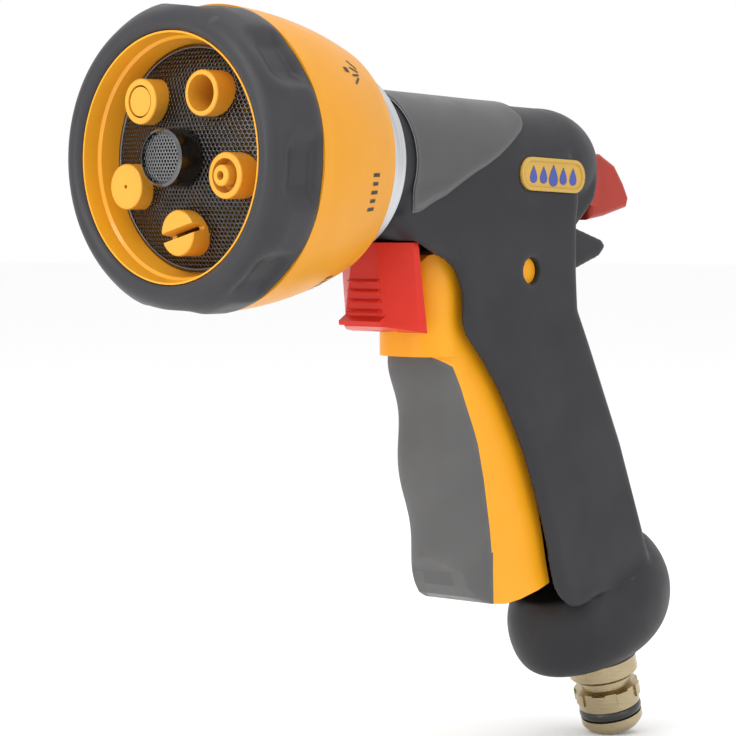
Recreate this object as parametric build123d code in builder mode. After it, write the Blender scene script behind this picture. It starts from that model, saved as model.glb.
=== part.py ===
from build123d import *
from math import atan2, cos, degrees, radians, sin
import os

os.makedirs("parts", exist_ok=True)

# Hose spray gun with a turning seven-pattern head, a front trigger and a rear flow lever.
# Row frame: +X is the spray direction, +Y the gun's left, +Z up, millimetres.
# The origin is the middle of the O-ring on the hose plug.

# ---------------------------------------------------------------- driving dimensions
FACE_X = 157.0  # front rim of the head, ahead of the origin
BARREL_Z = 139.2  # barrel axis, above the origin
PLUG_TILT = 16.7  # lean of the hose plug from the vertical, degrees

RIM_R = 26.9  # inner rim of the face cup
CUP_FLOOR_R = 24.9  # cup wall where it meets the shower plate
CUP_FLOOR = -9.6  # front of the cup floor, measured along the barrel from the rim
CUP_BACK = -11.6
CUP_OUTER_R = 28.6
SEAT_R = 30.2  # head shell's seat under the rubber bezel
BEZEL_R = 34.3
BEZEL_BACK = -13.5
SHELL_BACK = -42.7
SHELL_BACK_R = 27.5
WALL = 2.0  # moulded wall of the head shell

NOZZLE_COUNT = 5
NOZZLE_RING_R = 16.2
NOZZLE_R = 5.0
NOZZLE_FACE = -1.5
NOZZLE_FIRST = 58.0  # degrees from +Y towards +Z
NOZZLE_PITCH = 360 / NOZZLE_COUNT
ROSE_R = 6.3
ROSE_FACE = 2.5
DOME_RISE = 4.8  # bulge of the shower plate

PORT_COUNT = 7  # five nozzles, the rose and the shower plate
PORT_PITCH = 360 / PORT_COUNT
PORT_RING_R = 9.5
PORT_R = 2.5
TURRET_R = 24.0
TURRET_BACK = -24.0
PLATE_R = 19.0  # fixed port plate
PLATE_FRONT = -25.0
PLATE_BACK = -33.0
RETAINER_BACK = -37.0
NECK_R = 14.5
RUNNING = 0.05  # radial clearance of a running fit
GAP = 0.3  # clearance between moving faces
DETENT_RING_R = 16.5
DETENT_ANGLE = NOZZLE_FIRST + 180

COLLAR_FRONT = -44.5
COLLAR_BACK = -53.5
COLLAR_R = 21.7

FLANK_Y = 15.2  # half width of the casing
SKIN = 2.4  # casing wall
CASING_FRONT = -53.6
TRIGGER_Y = 10.5  # half width of the trigger
PIVOT = (-106.0, -25.6)  # trigger trunnions: along and above the barrel axis
TRUNNION_R = 3.15
DRUM = (-127.0, -5.0)  # flow drum centre
DRUM_R = 4.4
HOUSING_Y = 7.0  # half width of the valve housing beside the yoke
BOLT_X = -101.0  # cross pin of the valve spindle
GALLERY_Z = 7.5  # upper water gallery

PLUG_R = 7.9
RING_R = 8.05  # O-ring, outer radius as fitted
BASE_LOW = 14.5  # underside of the base cap, up the plug axis
BASE_TOP = 41.0
BASE_SEAT = 38.0  # the casing ends here, inside the base cap

# ---------------------------------------------------------------- planes and helpers
BARREL = Axis((FACE_X, 0, BARREL_Z), (1, 0, 0))
SIDE = Plane(origin=(FACE_X, 0, BARREL_Z), x_dir=(1, 0, 0), z_dir=(0, -1, 0))
ABOVE = Plane(origin=(FACE_X, 0, BARREL_Z), x_dir=(1, 0, 0), z_dir=(0, 0, 1))
tilt_sin, tilt_cos = sin(radians(PLUG_TILT)), cos(radians(PLUG_TILT))
PLUG = Plane(origin=(0, 0, 0), x_dir=(tilt_cos, 0, -tilt_sin), z_dir=(tilt_sin, 0, tilt_cos))
PLUG_AXIS = Axis((0, 0, 0), (tilt_sin, 0, tilt_cos))
PLUG_SIDE = Plane(origin=(0, 0, 0), x_dir=(tilt_cos, 0, -tilt_sin), z_dir=(0, -1, 0))


def across(x):
    """Plane square to the barrel, x ahead of the head's rim: local x is +Y, local y is +Z."""
    return Plane(origin=(FACE_X + x, 0, BARREL_Z), x_dir=(0, 1, 0), z_dir=(1, 0, 0))


def level(z):
    """Horizontal plane, z above the barrel axis, with the head's rim at x = 0."""
    return ABOVE.offset(z)


def around(radius, angle):
    """Point on a ring about the barrel, angle in degrees from +Y towards +Z."""
    return (radius * cos(radians(angle)), radius * sin(radians(angle)))


def along_plug(height, forward=0.0):
    """Point beside the plug axis, in the side plane's own coordinates."""
    return (
        -FACE_X + height * tilt_sin + forward * tilt_cos,
        -BARREL_Z + height * tilt_cos - forward * tilt_sin,
    )


def outline(points):
    """Closed straight-sided face in the current sketch."""
    Polygon(*points, align=None)


def turned(points, axis=BARREL, plane=SIDE):
    """Solid turned about an axis from its (along, radius) outline."""
    with BuildPart() as solid:
        with BuildSketch(plane):
            outline(points)
        revolve(axis=axis)
    return solid.part


def plug_turned(points):
    """Solid turned about the plug axis from its (radius, height) outline."""
    return turned(points, PLUG_AXIS, PLUG_SIDE)


def slab(points, half_width, plane=SIDE):
    """Plate of the given outline, centred on the gun's middle plane."""
    with BuildPart() as solid:
        with BuildSketch(plane):
            outline(points)
        extrude(amount=half_width, both=True)
    return solid.part


def rod(x_from, x_to, radius, centre=(0, 0)):
    """Round bar along the barrel."""
    with BuildPart() as solid:
        with BuildSketch(across(x_from)):
            with Locations(centre):
                Circle(radius)
        extrude(amount=x_to - x_from)
    return solid.part


def cross_rod(centre, y_from, y_to, radius):
    """Round bar along Y at a point of the side plane."""
    with BuildPart() as solid:
        with BuildSketch(SIDE.offset(-y_from)):
            with Locations(centre):
                Circle(radius)
        extrude(amount=y_from - y_to)
    return solid.part


def cavity_box(x_low, x_high, z_low, z_high, half_width):
    """Rectangular block about the middle plane."""
    corners = [(x_low, z_low), (x_high, z_low), (x_high, z_high), (x_low, z_high)]
    return slab(corners, half_width)


def coil(x_from, x_to, radius, wire, turns, centre=(0, 0)):
    """Round-wire spring along the barrel."""
    length = x_to - x_from - 2 * wire
    start = across(x_from + wire).from_local_coords(Vector(*centre, 0))
    with BuildPart() as spring:
        with BuildLine():
            path = Helix(
                pitch=length / turns, height=length, radius=radius, center=start, direction=(1, 0, 0))
        with BuildSketch(Plane(origin=path @ 0, z_dir=path % 0)):
            Circle(wire)
        sweep(path=path, is_frenet=True)
    return spring.part


def channel(start, end, width, x_from, x_to):
    """Round-ended channel between two points of a plane across the barrel."""
    reach = ((end[0] - start[0]) ** 2 + (end[1] - start[1]) ** 2) ** 0.5
    turn = degrees(atan2(end[1] - start[1], end[0] - start[0]))
    middle = ((start[0] + end[0]) / 2, (start[1] + end[1]) / 2)
    with BuildPart() as solid:
        with BuildSketch(across(x_from)):
            with Locations(Location(middle, turn)):
                SlotCenterToCenter(reach, width)
        extrude(amount=x_to - x_from)
    return solid.part


def screw(x_head, x_tip, centre, head_r=1.9, shank_r=1.0, head_length=1.8):
    """Pan-head screw along the barrel, driven forwards from its head."""
    with BuildPart() as body:
        add(rod(x_head - head_length, x_head, head_r, centre))
        fillet(body.edges().group_by(Axis.X)[0], 0.6)
        add(rod(x_head, x_tip, shank_r, centre))
        add(rod(x_head - head_length, x_head - 0.8, 0.8, centre), mode=Mode.SUBTRACT)
    return body.part


# ---------------------------------------------------------------- head: outer rings
FINGER_DIPS = 8
DIP_R = 13.0
DIP_DEPTH = 2.0
with BuildPart() as bezel_grip:
    with BuildSketch(SIDE):
        outline([
            (BEZEL_BACK, SEAT_R), (BEZEL_BACK, 33.8), (-11.0, BEZEL_R), (-4.0, BEZEL_R), (-0.8, 33.2),
            (1.0, 31.2), (1.3, 29.4), (0.6, 28.0), (-0.2, RIM_R + 0.5), (-0.9, RIM_R + 0.5),
            (-0.9, SEAT_R),
        ])
    revolve(axis=BARREL)
    dip_centre = (BEZEL_R + DIP_R - DIP_DEPTH)
    with Locations([
        across(-4.5).from_local_coords(Vector(*around(dip_centre, -5 + 360 / FINGER_DIPS * k), 0))
        for k in range(FINGER_DIPS)
    ]):
        Sphere(DIP_R, mode=Mode.SUBTRACT)
bezel_grip.part.label = "bezel_grip"
export_step(bezel_grip.part, "parts/bezel_grip.step")

SHOULDER_FRONT = -14.2
SHOULDER_BACK = -16.4
HEAD_SCREW_R = 26.8
RETAINER_SCREW_R = 21.7
with BuildPart() as head_shell:
    with BuildSketch(SIDE):
        with BuildLine():
            Polyline(
                (SHELL_BACK, 22.2), (SHELL_BACK + 1.6, 22.2), (SHELL_BACK + 1.6, SHELL_BACK_R - WALL),
            )
            ThreePointArc((SHELL_BACK + 1.6, SHELL_BACK_R - WALL), (-29.0, 29.6), (SHOULDER_BACK, 31.5))
            Polyline(
                (SHOULDER_BACK, 31.5), (SHOULDER_BACK, 25.0), (SHOULDER_FRONT, 25.0),
                (SHOULDER_FRONT, CUP_OUTER_R + 0.1), (-1.0, CUP_OUTER_R + 0.1), (-1.0, SEAT_R),
                (BEZEL_BACK, SEAT_R), (BEZEL_BACK, 33.7),
            )
            ThreePointArc((BEZEL_BACK, 33.7), (-28.5, 31.7), (SHELL_BACK, SHELL_BACK_R))
            Line((SHELL_BACK, SHELL_BACK_R), (SHELL_BACK, 22.2))
        make_face()
    revolve(axis=BARREL)
    with BuildSketch(across(SHOULDER_BACK)):
        with PolarLocations(HEAD_SCREW_R, NOZZLE_COUNT, start_angle=NOZZLE_FIRST + 36):
            Circle(1.2)
    extrude(amount=SHOULDER_FRONT - SHOULDER_BACK, mode=Mode.SUBTRACT)
head_shell.part.label = "head_shell"
export_step(head_shell.part, "parts/head_shell.step")

SHOWER_PORT = NOZZLE_FIRST - 2 * PORT_PITCH  # port that feeds the shower plate
with BuildPart() as face_cup:
    add(turned([
        (0, RIM_R), (-3.6, RIM_R - 0.5), (-4.2, RIM_R - 1.1), (-8.6, CUP_FLOOR_R), (CUP_FLOOR, CUP_FLOOR_R),
        (CUP_FLOOR, 0), (CUP_BACK, 0), (CUP_BACK, CUP_OUTER_R), (-1.0, CUP_OUTER_R),
        (-1.0, RIM_R + 0.4), (0, RIM_R + 0.4),
    ]))
    with BuildSketch(across(CUP_BACK)):
        Circle(ROSE_R + 0.05)
        with PolarLocations(NOZZLE_RING_R, NOZZLE_COUNT, start_angle=NOZZLE_FIRST):
            Circle(NOZZLE_R + 0.05)
        with Locations(around(PORT_RING_R, SHOWER_PORT)):
            Circle(1.8)
    extrude(amount=CUP_FLOOR - CUP_BACK, mode=Mode.SUBTRACT)
    with BuildSketch(across(CUP_BACK)):
        with PolarLocations(HEAD_SCREW_R, NOZZLE_COUNT, start_angle=NOZZLE_FIRST + 36):
            Circle(1.0)
    extrude(amount=4.6, mode=Mode.SUBTRACT)
face_cup.part.label = "face_cup"
export_step(face_cup.part, "parts/face_cup.step")

SHOWER_THICK = 0.8
SHOWER_R = CUP_FLOOR_R - 0.2
dome_r = (SHOWER_R ** 2 + DOME_RISE ** 2) / (2 * DOME_RISE)
SHOWER_RIM = -8.8
SHOWER_HOLE_RINGS = [(9.0, 18), (11.2, 24), (21.8, 44), (23.4, 48)]  # ring radius, holes in it
with BuildPart() as shower_plate:
    with BuildSketch(SIDE):
        with BuildLine():
            RadiusArc((SHOWER_RIM, SHOWER_R), (SHOWER_RIM + DOME_RISE, 0), dome_r, short_sagitta=True)
            Line((SHOWER_RIM + DOME_RISE, 0), (SHOWER_RIM + DOME_RISE - SHOWER_THICK, 0))
            RadiusArc(
                (SHOWER_RIM + DOME_RISE - SHOWER_THICK, 0), (SHOWER_RIM - SHOWER_THICK, SHOWER_R),
                -dome_r, short_sagitta=True,
            )
            Line((SHOWER_RIM - SHOWER_THICK, SHOWER_R), (SHOWER_RIM, SHOWER_R))
        make_face()
    revolve(axis=BARREL)
    with BuildSketch(across(SHOWER_RIM - 2)):
        Circle(ROSE_R + 0.15)
        with PolarLocations(NOZZLE_RING_R, NOZZLE_COUNT, start_angle=NOZZLE_FIRST):
            Circle(NOZZLE_R + 0.15)
        for ring_r, holes in SHOWER_HOLE_RINGS:
            with PolarLocations(ring_r, holes):
                Circle(0.4)
    extrude(amount=DOME_RISE + 4, mode=Mode.SUBTRACT)
shower_plate.part.label = "shower_plate"
export_step(shower_plate.part, "parts/shower_plate.step")

# ---------------------------------------------------------------- head: nozzles
FLANGE_R = 6.0
FLANGE_BACK = CUP_BACK - 2.0
NOZZLE_BORE = 3.6
nozzle_at = [around(NOZZLE_RING_R, NOZZLE_FIRST + NOZZLE_PITCH * k) for k in range(NOZZLE_COUNT)]


def nozzle_body(centre, bore_front, bore_r=NOZZLE_BORE):
    """Flanged tube through the cup floor, bored from behind up to bore_front."""
    with BuildPart() as body:
        add(rod(FLANGE_BACK, NOZZLE_FACE, NOZZLE_R, centre))
        fillet(body.edges().group_by(Axis.X)[-1], 0.5)
        add(rod(FLANGE_BACK, CUP_BACK, FLANGE_R, centre))
        add(rod(FLANGE_BACK, bore_front, bore_r, centre), mode=Mode.SUBTRACT)
    return body.part


with BuildPart() as soaker_nozzle:
    add(nozzle_body(nozzle_at[0], NOZZLE_FACE, 3.95))
soaker_nozzle.part.label = "soaker_nozzle"
export_step(soaker_nozzle.part, "parts/soaker_nozzle.step")

CORE_R = 3.2
with BuildPart() as cone_nozzle:
    add(nozzle_body(nozzle_at[1], NOZZLE_FACE))
cone_nozzle.part.label = "cone_nozzle"
export_step(cone_nozzle.part, "parts/cone_nozzle.step")

with BuildPart() as cone_core:
    add(rod(-4.0, NOZZLE_FACE - 0.2, CORE_R, nozzle_at[1]))
    add(rod(FLANGE_BACK + 1, -4.0, 1.5, nozzle_at[1]))
    with BuildSketch(across(FLANGE_BACK + 1)):
        with Locations(nozzle_at[1]):
            Circle(NOZZLE_BORE)
            with PolarLocations(NOZZLE_BORE, 3):
                Circle(1.6, mode=Mode.SUBTRACT)
    extrude(amount=3.0)
cone_core.part.label = "cone_core"
export_step(cone_core.part, "parts/cone_core.step")

with BuildPart() as mist_nozzle:
    add(nozzle_body(nozzle_at[2], NOZZLE_FACE - 1.5))
    add(rod(NOZZLE_FACE - 2, NOZZLE_FACE, 0.45, nozzle_at[2]), mode=Mode.SUBTRACT)
mist_nozzle.part.label = "mist_nozzle"
export_step(mist_nozzle.part, "parts/mist_nozzle.step")

FAN_SLOT_LEAN = 15.0
with BuildPart() as fan_nozzle:
    add(nozzle_body(nozzle_at[3], NOZZLE_FACE - 3.0))
    slot_plane = Plane(
        origin=across(NOZZLE_FACE).from_local_coords(Vector(*nozzle_at[3], 0)),
        x_dir=(0, -sin(radians(FAN_SLOT_LEAN)), cos(radians(FAN_SLOT_LEAN))),
        z_dir=(0, cos(radians(FAN_SLOT_LEAN)), sin(radians(FAN_SLOT_LEAN))),
    )
    with BuildSketch(slot_plane):
        outline([(-1.1, 0.2), (-0.35, -3.4), (0.35, -3.4), (1.1, 0.2)])
    extrude(amount=6, both=True, mode=Mode.SUBTRACT)
fan_nozzle.part.label = "fan_nozzle"
export_step(fan_nozzle.part, "parts/fan_nozzle.step")

JET_TIP_R = 2.3
with BuildPart() as jet_nozzle:
    add(nozzle_body(nozzle_at[4], NOZZLE_FACE - 3.2))
    add(rod(NOZZLE_FACE - 3.2, NOZZLE_FACE, 3.7, nozzle_at[4]), mode=Mode.SUBTRACT)
    add(rod(-9.0, NOZZLE_FACE - 3.2, NOZZLE_BORE + 0.2, nozzle_at[4]))
    add(rod(NOZZLE_FACE - 3.3, NOZZLE_FACE + 1.3, JET_TIP_R, nozzle_at[4]))
    fillet(jet_nozzle.edges().group_by(Axis.X)[-1], 0.5)
    add(rod(-9.5, NOZZLE_FACE + 1.4, 1.0, nozzle_at[4]), mode=Mode.SUBTRACT)
jet_nozzle.part.label = "jet_nozzle"
export_step(jet_nozzle.part, "parts/jet_nozzle.step")

SCREEN_R = 5.6
with BuildPart() as rose_housing:
    add(turned([
        (FLANGE_BACK, 4.5), (FLANGE_BACK, 6.9), (CUP_BACK, 6.9), (CUP_BACK, ROSE_R),
        (ROSE_FACE - 0.6, ROSE_R),
        (ROSE_FACE, ROSE_R - 0.5), (ROSE_FACE, SCREEN_R + 0.05), (ROSE_FACE - 1.2, SCREEN_R + 0.05),
        (ROSE_FACE - 1.2, 4.5),
    ]))
rose_housing.part.label = "rose_housing"
export_step(rose_housing.part, "parts/rose_housing.step")

with BuildPart() as rose_screen:
    add(rod(ROSE_FACE - 1.2, ROSE_FACE - 0.3, SCREEN_R))
    with BuildSketch(across(ROSE_FACE - 1.2)):
        Circle(0.3)
        for ring in range(1, 5):
            with PolarLocations(1.05 * ring, 6 * ring):
                Circle(0.3)
    extrude(amount=1.0, mode=Mode.SUBTRACT)
rose_screen.part.label = "rose_screen"
export_step(rose_screen.part, "parts/rose_screen.step")

# ---------------------------------------------------------------- head: turret
POCKET_BACK = -20.0
port_at = [around(PORT_RING_R, NOZZLE_FIRST + PORT_PITCH * k) for k in range(PORT_COUNT)]
# Which port feeds each nozzle: the nearest one round the ring, counted from the first.
feeds = [(nozzle_at[0], port_at[0]), (nozzle_at[1], port_at[1]), (nozzle_at[2], port_at[3]),
         (nozzle_at[3], port_at[4]), (nozzle_at[4], port_at[6]), ((0, 0), port_at[2])]
with BuildPart() as turret_disc:
    add(rod(TURRET_BACK, CUP_BACK, TURRET_R))
    add(rod(SHOULDER_FRONT, CUP_BACK, CUP_OUTER_R))
    for outlet, port in feeds:
        add(channel(outlet, port, 2 * PORT_R, POCKET_BACK, CUP_BACK), mode=Mode.SUBTRACT)
    with BuildSketch(across(POCKET_BACK)):
        Circle(4.5)
    extrude(amount=CUP_BACK - POCKET_BACK, mode=Mode.SUBTRACT)
    with BuildSketch(across(FLANGE_BACK)):  # seats of the nozzle and rose flanges
        Circle(7.0)
        with PolarLocations(NOZZLE_RING_R, NOZZLE_COUNT, start_angle=NOZZLE_FIRST):
            Circle(FLANGE_R + 0.1)
    extrude(amount=CUP_BACK - FLANGE_BACK, mode=Mode.SUBTRACT)
    with BuildSketch(across(TURRET_BACK)):
        with PolarLocations(PORT_RING_R, PORT_COUNT, start_angle=NOZZLE_FIRST):
            Circle(PORT_R)
    extrude(amount=POCKET_BACK - TURRET_BACK, mode=Mode.SUBTRACT)
    with BuildSketch(across(TURRET_BACK)):
        with Locations(around(PORT_RING_R, SHOWER_PORT)):
            Circle(1.8)
    extrude(amount=CUP_BACK - TURRET_BACK, mode=Mode.SUBTRACT)
    with BuildSketch(across(TURRET_BACK)):  # detent track and its stops
        Circle(DETENT_RING_R + 1.9)
        Circle(DETENT_RING_R - 1.9, mode=Mode.SUBTRACT)
    extrude(amount=1.3, mode=Mode.SUBTRACT)
    with BuildSketch(across(TURRET_BACK)):
        with PolarLocations(DETENT_RING_R, PORT_COUNT, start_angle=DETENT_ANGLE):
            Circle(1.5)
    extrude(amount=2.2, mode=Mode.SUBTRACT)
    with BuildSketch(across(SHOULDER_FRONT)):
        with PolarLocations(HEAD_SCREW_R, NOZZLE_COUNT, start_angle=NOZZLE_FIRST + 36):
            Circle(1.2)
    extrude(amount=CUP_BACK - SHOULDER_FRONT, mode=Mode.SUBTRACT)
    with BuildSketch(across(TURRET_BACK)):
        with PolarLocations(RETAINER_SCREW_R, NOZZLE_COUNT, start_angle=NOZZLE_FIRST + 36):
            Circle(1.05)
    extrude(amount=8.5, mode=Mode.SUBTRACT)
turret_disc.part.label = "turret_disc"
export_step(turret_disc.part, "parts/turret_disc.step")

with BuildPart() as turret_retainer:
    add(turned([
        (TURRET_BACK, PLATE_R + GAP), (TURRET_BACK, TURRET_R), (RETAINER_BACK, TURRET_R),
        (RETAINER_BACK, NECK_R + RUNNING), (PLATE_BACK - GAP, NECK_R + RUNNING),
        (PLATE_BACK - GAP, PLATE_R + GAP),
    ]))
    with BuildSketch(across(RETAINER_BACK)):
        with PolarLocations(RETAINER_SCREW_R, NOZZLE_COUNT, start_angle=NOZZLE_FIRST + 36):
            Circle(1.2)
    extrude(amount=TURRET_BACK - RETAINER_BACK, mode=Mode.SUBTRACT)
turret_retainer.part.label = "turret_retainer"
export_step(turret_retainer.part, "parts/turret_retainer.step")

with BuildPart() as turret_screws:
    for k in range(NOZZLE_COUNT):
        centre = around(RETAINER_SCREW_R, NOZZLE_FIRST + 36 + NOZZLE_PITCH * k)
        add(screw(RETAINER_BACK, TURRET_BACK + 8, centre))
turret_screws.part.label = "turret_screws"
export_step(turret_screws.part, "parts/turret_screws.step")

with BuildPart() as head_screws:
    for k in range(NOZZLE_COUNT):
        centre = around(HEAD_SCREW_R, NOZZLE_FIRST + 36 + NOZZLE_PITCH * k)
        add(screw(SHOULDER_BACK, CUP_BACK + 4.2, centre, head_r=1.7, shank_r=0.95))
head_screws.part.label = "head_screws"
export_step(head_screws.part, "parts/head_screws.step")

# ---------------------------------------------------------------- fixed neck
SPIGOT = (-51.0, 15.9)  # casing lip inside the neck collar
SEAL_POCKET_R = 4.0
SEAL_POCKET_BACK = -31.0
PLATE_SCREW_R = 8.0
plate_screw_at = [around(PLATE_SCREW_R, NOZZLE_FIRST + 90 * k) for k in (1, 2, 3)]
with BuildPart() as port_plate:
    add(rod(PLATE_BACK, PLATE_FRONT, PLATE_R))
    add(rod(SEAL_POCKET_BACK, PLATE_FRONT, SEAL_POCKET_R, port_at[0]), mode=Mode.SUBTRACT)
    add(channel(around(4.5, NOZZLE_FIRST), port_at[0], 2 * PORT_R, PLATE_BACK, SEAL_POCKET_BACK),
        mode=Mode.SUBTRACT)
    add(rod(PLATE_BACK + 1.5, PLATE_FRONT, 1.6, around(DETENT_RING_R, DETENT_ANGLE)), mode=Mode.SUBTRACT)
    for centre in plate_screw_at:
        add(rod(PLATE_BACK, PLATE_FRONT, 1.6, centre), mode=Mode.SUBTRACT)
        add(rod(PLATE_FRONT - 2.2, PLATE_FRONT, 2.7, centre), mode=Mode.SUBTRACT)
port_plate.part.label = "port_plate"
export_step(port_plate.part, "parts/port_plate.step")

with BuildPart() as plate_screws:
    for centre in plate_screw_at:
        add(rod(PLATE_FRONT - 2.2, PLATE_FRONT - 0.2, 2.6, centre))
        add(rod(PLATE_BACK - 8, PLATE_FRONT - 2.2, 1.5, centre))
        add(rod(PLATE_FRONT - 1.2, PLATE_FRONT - 0.2, 1.2, centre), mode=Mode.SUBTRACT)
plate_screws.part.label = "plate_screws"
export_step(plate_screws.part, "parts/plate_screws.step")

with BuildPart() as port_seal:
    add(rod(SEAL_POCKET_BACK + 2.5, TURRET_BACK - 0.05, SEAL_POCKET_R - 0.1, port_at[0]))
    add(rod(SEAL_POCKET_BACK + 2.5, TURRET_BACK, PORT_R, port_at[0]), mode=Mode.SUBTRACT)
port_seal.part.label = "port_seal"
export_step(port_seal.part, "parts/port_seal.step")

with BuildPart() as detent_plunger:
    detent_centre = around(DETENT_RING_R, DETENT_ANGLE)
    add(rod(PLATE_FRONT - 3.0, PLATE_FRONT + 1.9, 1.5, detent_centre))
    fillet(detent_plunger.edges().group_by(Axis.X)[-1], 1.2)
detent_plunger.part.label = "detent_plunger"
export_step(detent_plunger.part, "parts/detent_plunger.step")

with BuildPart() as detent_spring:
    add(coil(PLATE_BACK + 1.6, PLATE_FRONT - 3.1, 1.15, 0.22, 4, detent_centre))
detent_spring.part.label = "detent_spring"
export_step(detent_spring.part, "parts/detent_spring.step")

with BuildPart() as neck_oring:
    with BuildSketch(SIDE):
        with Locations((PLATE_BACK - 0.75, 13.1)):
            Circle(0.7)
    revolve(axis=BARREL)
neck_oring.part.label = "neck_oring"
export_step(neck_oring.part, "parts/neck_oring.step")

with BuildPart() as neck_collar:
    add(turned([
        (COLLAR_FRONT, NECK_R + 0.1), (COLLAR_FRONT, 20.4), (COLLAR_FRONT - 0.8, 21.2),
        (COLLAR_BACK + 0.8, COLLAR_R),
        (COLLAR_BACK, COLLAR_R - 0.6), (COLLAR_BACK, SPIGOT[1] + 0.1), (SPIGOT[0] + 0.1, SPIGOT[1] + 0.1),
        (SPIGOT[0] + 0.1, NECK_R + 0.1),
    ]))
neck_collar.part.label = "neck_collar"
export_step(neck_collar.part, "parts/neck_collar.step")

# ---------------------------------------------------------------- valve housing
CHAMBER_R = 5.5
SEAT_BACK = -75.0
SEAT_FRONT = -73.0
SEAT_BORE = 4.0
SPINDLE_R = 3.0
NECK_BACK = -57.5
BODY_BACK = -98.0
HOUSING_BACK = -131.0
tube_knee = along_plug(44.0)
tube_foot = along_plug(33.0)
tube_top = (-105.5, -11.0)
tube_run = Vector(tube_top[0] - tube_knee[0], 0, tube_top[1] - tube_knee[1]).normalized()


def tube_spigot(radius, low, high, bore=0.0):
    """Round boss along the top of the handle tube, low and high measured from its end."""
    end = SIDE.from_local_coords(Vector(*tube_top, 0))
    with BuildPart() as boss:
        with BuildSketch(Plane(origin=end + tube_run * low, z_dir=tube_run)):
            Circle(radius)
            if bore:
                Circle(bore, mode=Mode.SUBTRACT)
        extrude(amount=high - low)
    return boss.part


with BuildPart() as valve_housing:
    add(rod(NECK_BACK, PLATE_BACK, NECK_R))
    add(rod(BODY_BACK, NECK_BACK, 11.8))
    add(rod(HOUSING_BACK, BODY_BACK, 10.5))
    add(tube_spigot(6.9, -6.5, 2.0))
    for y in (1, -1):  # flats beside the trigger yoke and the lever fork
        with BuildSketch(SIDE.offset(-y * HOUSING_Y)):
            outline([(HOUSING_BACK - 1, -15), (-97.0, -15), (-97.0, 15), (HOUSING_BACK - 1, 15)])
        extrude(amount=-y * 10, mode=Mode.SUBTRACT)
    add(rod(SEAT_FRONT, PLATE_BACK, 7.0), mode=Mode.SUBTRACT)
    add(rod(SEAT_BACK, SEAT_FRONT, SEAT_BORE), mode=Mode.SUBTRACT)
    add(rod(-90.0, SEAT_BACK, CHAMBER_R), mode=Mode.SUBTRACT)
    add(rod(-93.5, -90.0, CHAMBER_R - 0.6), mode=Mode.SUBTRACT)  # gland seal seat
    add(rod(-109.0, -93.5, SPINDLE_R + RUNNING), mode=Mode.SUBTRACT)
    add(cavity_box(-106.5, -95.0, -2.0, 2.0, 12), mode=Mode.SUBTRACT)  # slot for the cross pin
    add(rod(-127.0, -84.0, 1.8, (0, GALLERY_Z)), mode=Mode.SUBTRACT)
    add(rod(DRUM[0], -104.0, 2.0, (0, DRUM[1])), mode=Mode.SUBTRACT)
    add(cross_rod(DRUM, -8, 8, DRUM_R + RUNNING), mode=Mode.SUBTRACT)
    with BuildSketch(level(0)):
        with Locations((-84.0, 0), (DRUM[0], 0)):
            Circle(1.8)
    extrude(amount=GALLERY_Z, mode=Mode.SUBTRACT)
    add(tube_spigot(4.65, -8.0, 0.5), mode=Mode.SUBTRACT)
    with BuildSketch(level(-12.0)):
        with Locations((-106.0, 0)):
            Circle(2.5)
    extrude(amount=7.0, mode=Mode.SUBTRACT)
    neck_groove = turned([(PLATE_BACK, 12.4), (PLATE_BACK, 13.8), (PLATE_BACK - 1.5, 13.8),
                          (PLATE_BACK - 1.5, 12.4)])
    add(neck_groove, mode=Mode.SUBTRACT)
    for centre in plate_screw_at:
        add(rod(PLATE_BACK - 9, PLATE_BACK, 1.5, centre), mode=Mode.SUBTRACT)
valve_housing.part.label = "valve_housing"
export_step(valve_housing.part, "parts/valve_housing.step")

POPPET_FRONT = -69.5
with BuildPart() as valve_spindle:
    add(rod(BOLT_X - 4.0, SEAT_FRONT, SPINDLE_R))
    add(rod(SEAT_FRONT + 1.6, POPPET_FRONT, 5.4))
    add(rod(SEAT_FRONT, SEAT_FRONT + 1.6, SPINDLE_R))
    add(rod(POPPET_FRONT, POPPET_FRONT + 4, 2.2))
    add(cross_rod((BOLT_X, 0), -5, 5, 1.45), mode=Mode.SUBTRACT)
valve_spindle.part.label = "valve_spindle"
export_step(valve_spindle.part, "parts/valve_spindle.step")

with BuildPart() as valve_washer:
    add(rod(SEAT_FRONT + 0.05, SEAT_FRONT + 1.6, 5.2))
    add(rod(SEAT_FRONT, SEAT_FRONT + 2, SPINDLE_R), mode=Mode.SUBTRACT)
valve_washer.part.label = "valve_washer"
export_step(valve_washer.part, "parts/valve_washer.step")

with BuildPart() as spindle_pin:
    add(cross_rod((BOLT_X, 0), -10.0, 10.0, 1.45))
spindle_pin.part.label = "spindle_pin"
export_step(spindle_pin.part, "parts/spindle_pin.step")

with BuildPart() as gland_seal:
    add(rod(-93.4, -90.6, CHAMBER_R - 0.65))
    add(rod(-94.0, -90.0, SPINDLE_R + RUNNING), mode=Mode.SUBTRACT)
gland_seal.part.label = "gland_seal"
export_step(gland_seal.part, "parts/gland_seal.step")

with BuildPart() as gland_nut:
    add(rod(-90.0, -87.6, CHAMBER_R - 0.1))
    add(rod(-91.0, -87.0, SPINDLE_R + 0.1), mode=Mode.SUBTRACT)
gland_nut.part.label = "gland_nut"
export_step(gland_nut.part, "parts/gland_nut.step")

SPRING_STOP = -51.0
with BuildPart() as spring_stop:
    add(rod(SPRING_STOP, SPRING_STOP + 2.5, 6.95))
    add(rod(SPRING_STOP, SPRING_STOP + 2.5, 3.2), mode=Mode.SUBTRACT)
spring_stop.part.label = "spring_stop"
export_step(spring_stop.part, "parts/spring_stop.step")

with BuildPart() as valve_spring:
    add(coil(POPPET_FRONT, SPRING_STOP, 4.4, 0.6, 6))
valve_spring.part.label = "valve_spring"
export_step(valve_spring.part, "parts/valve_spring.step")

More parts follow.
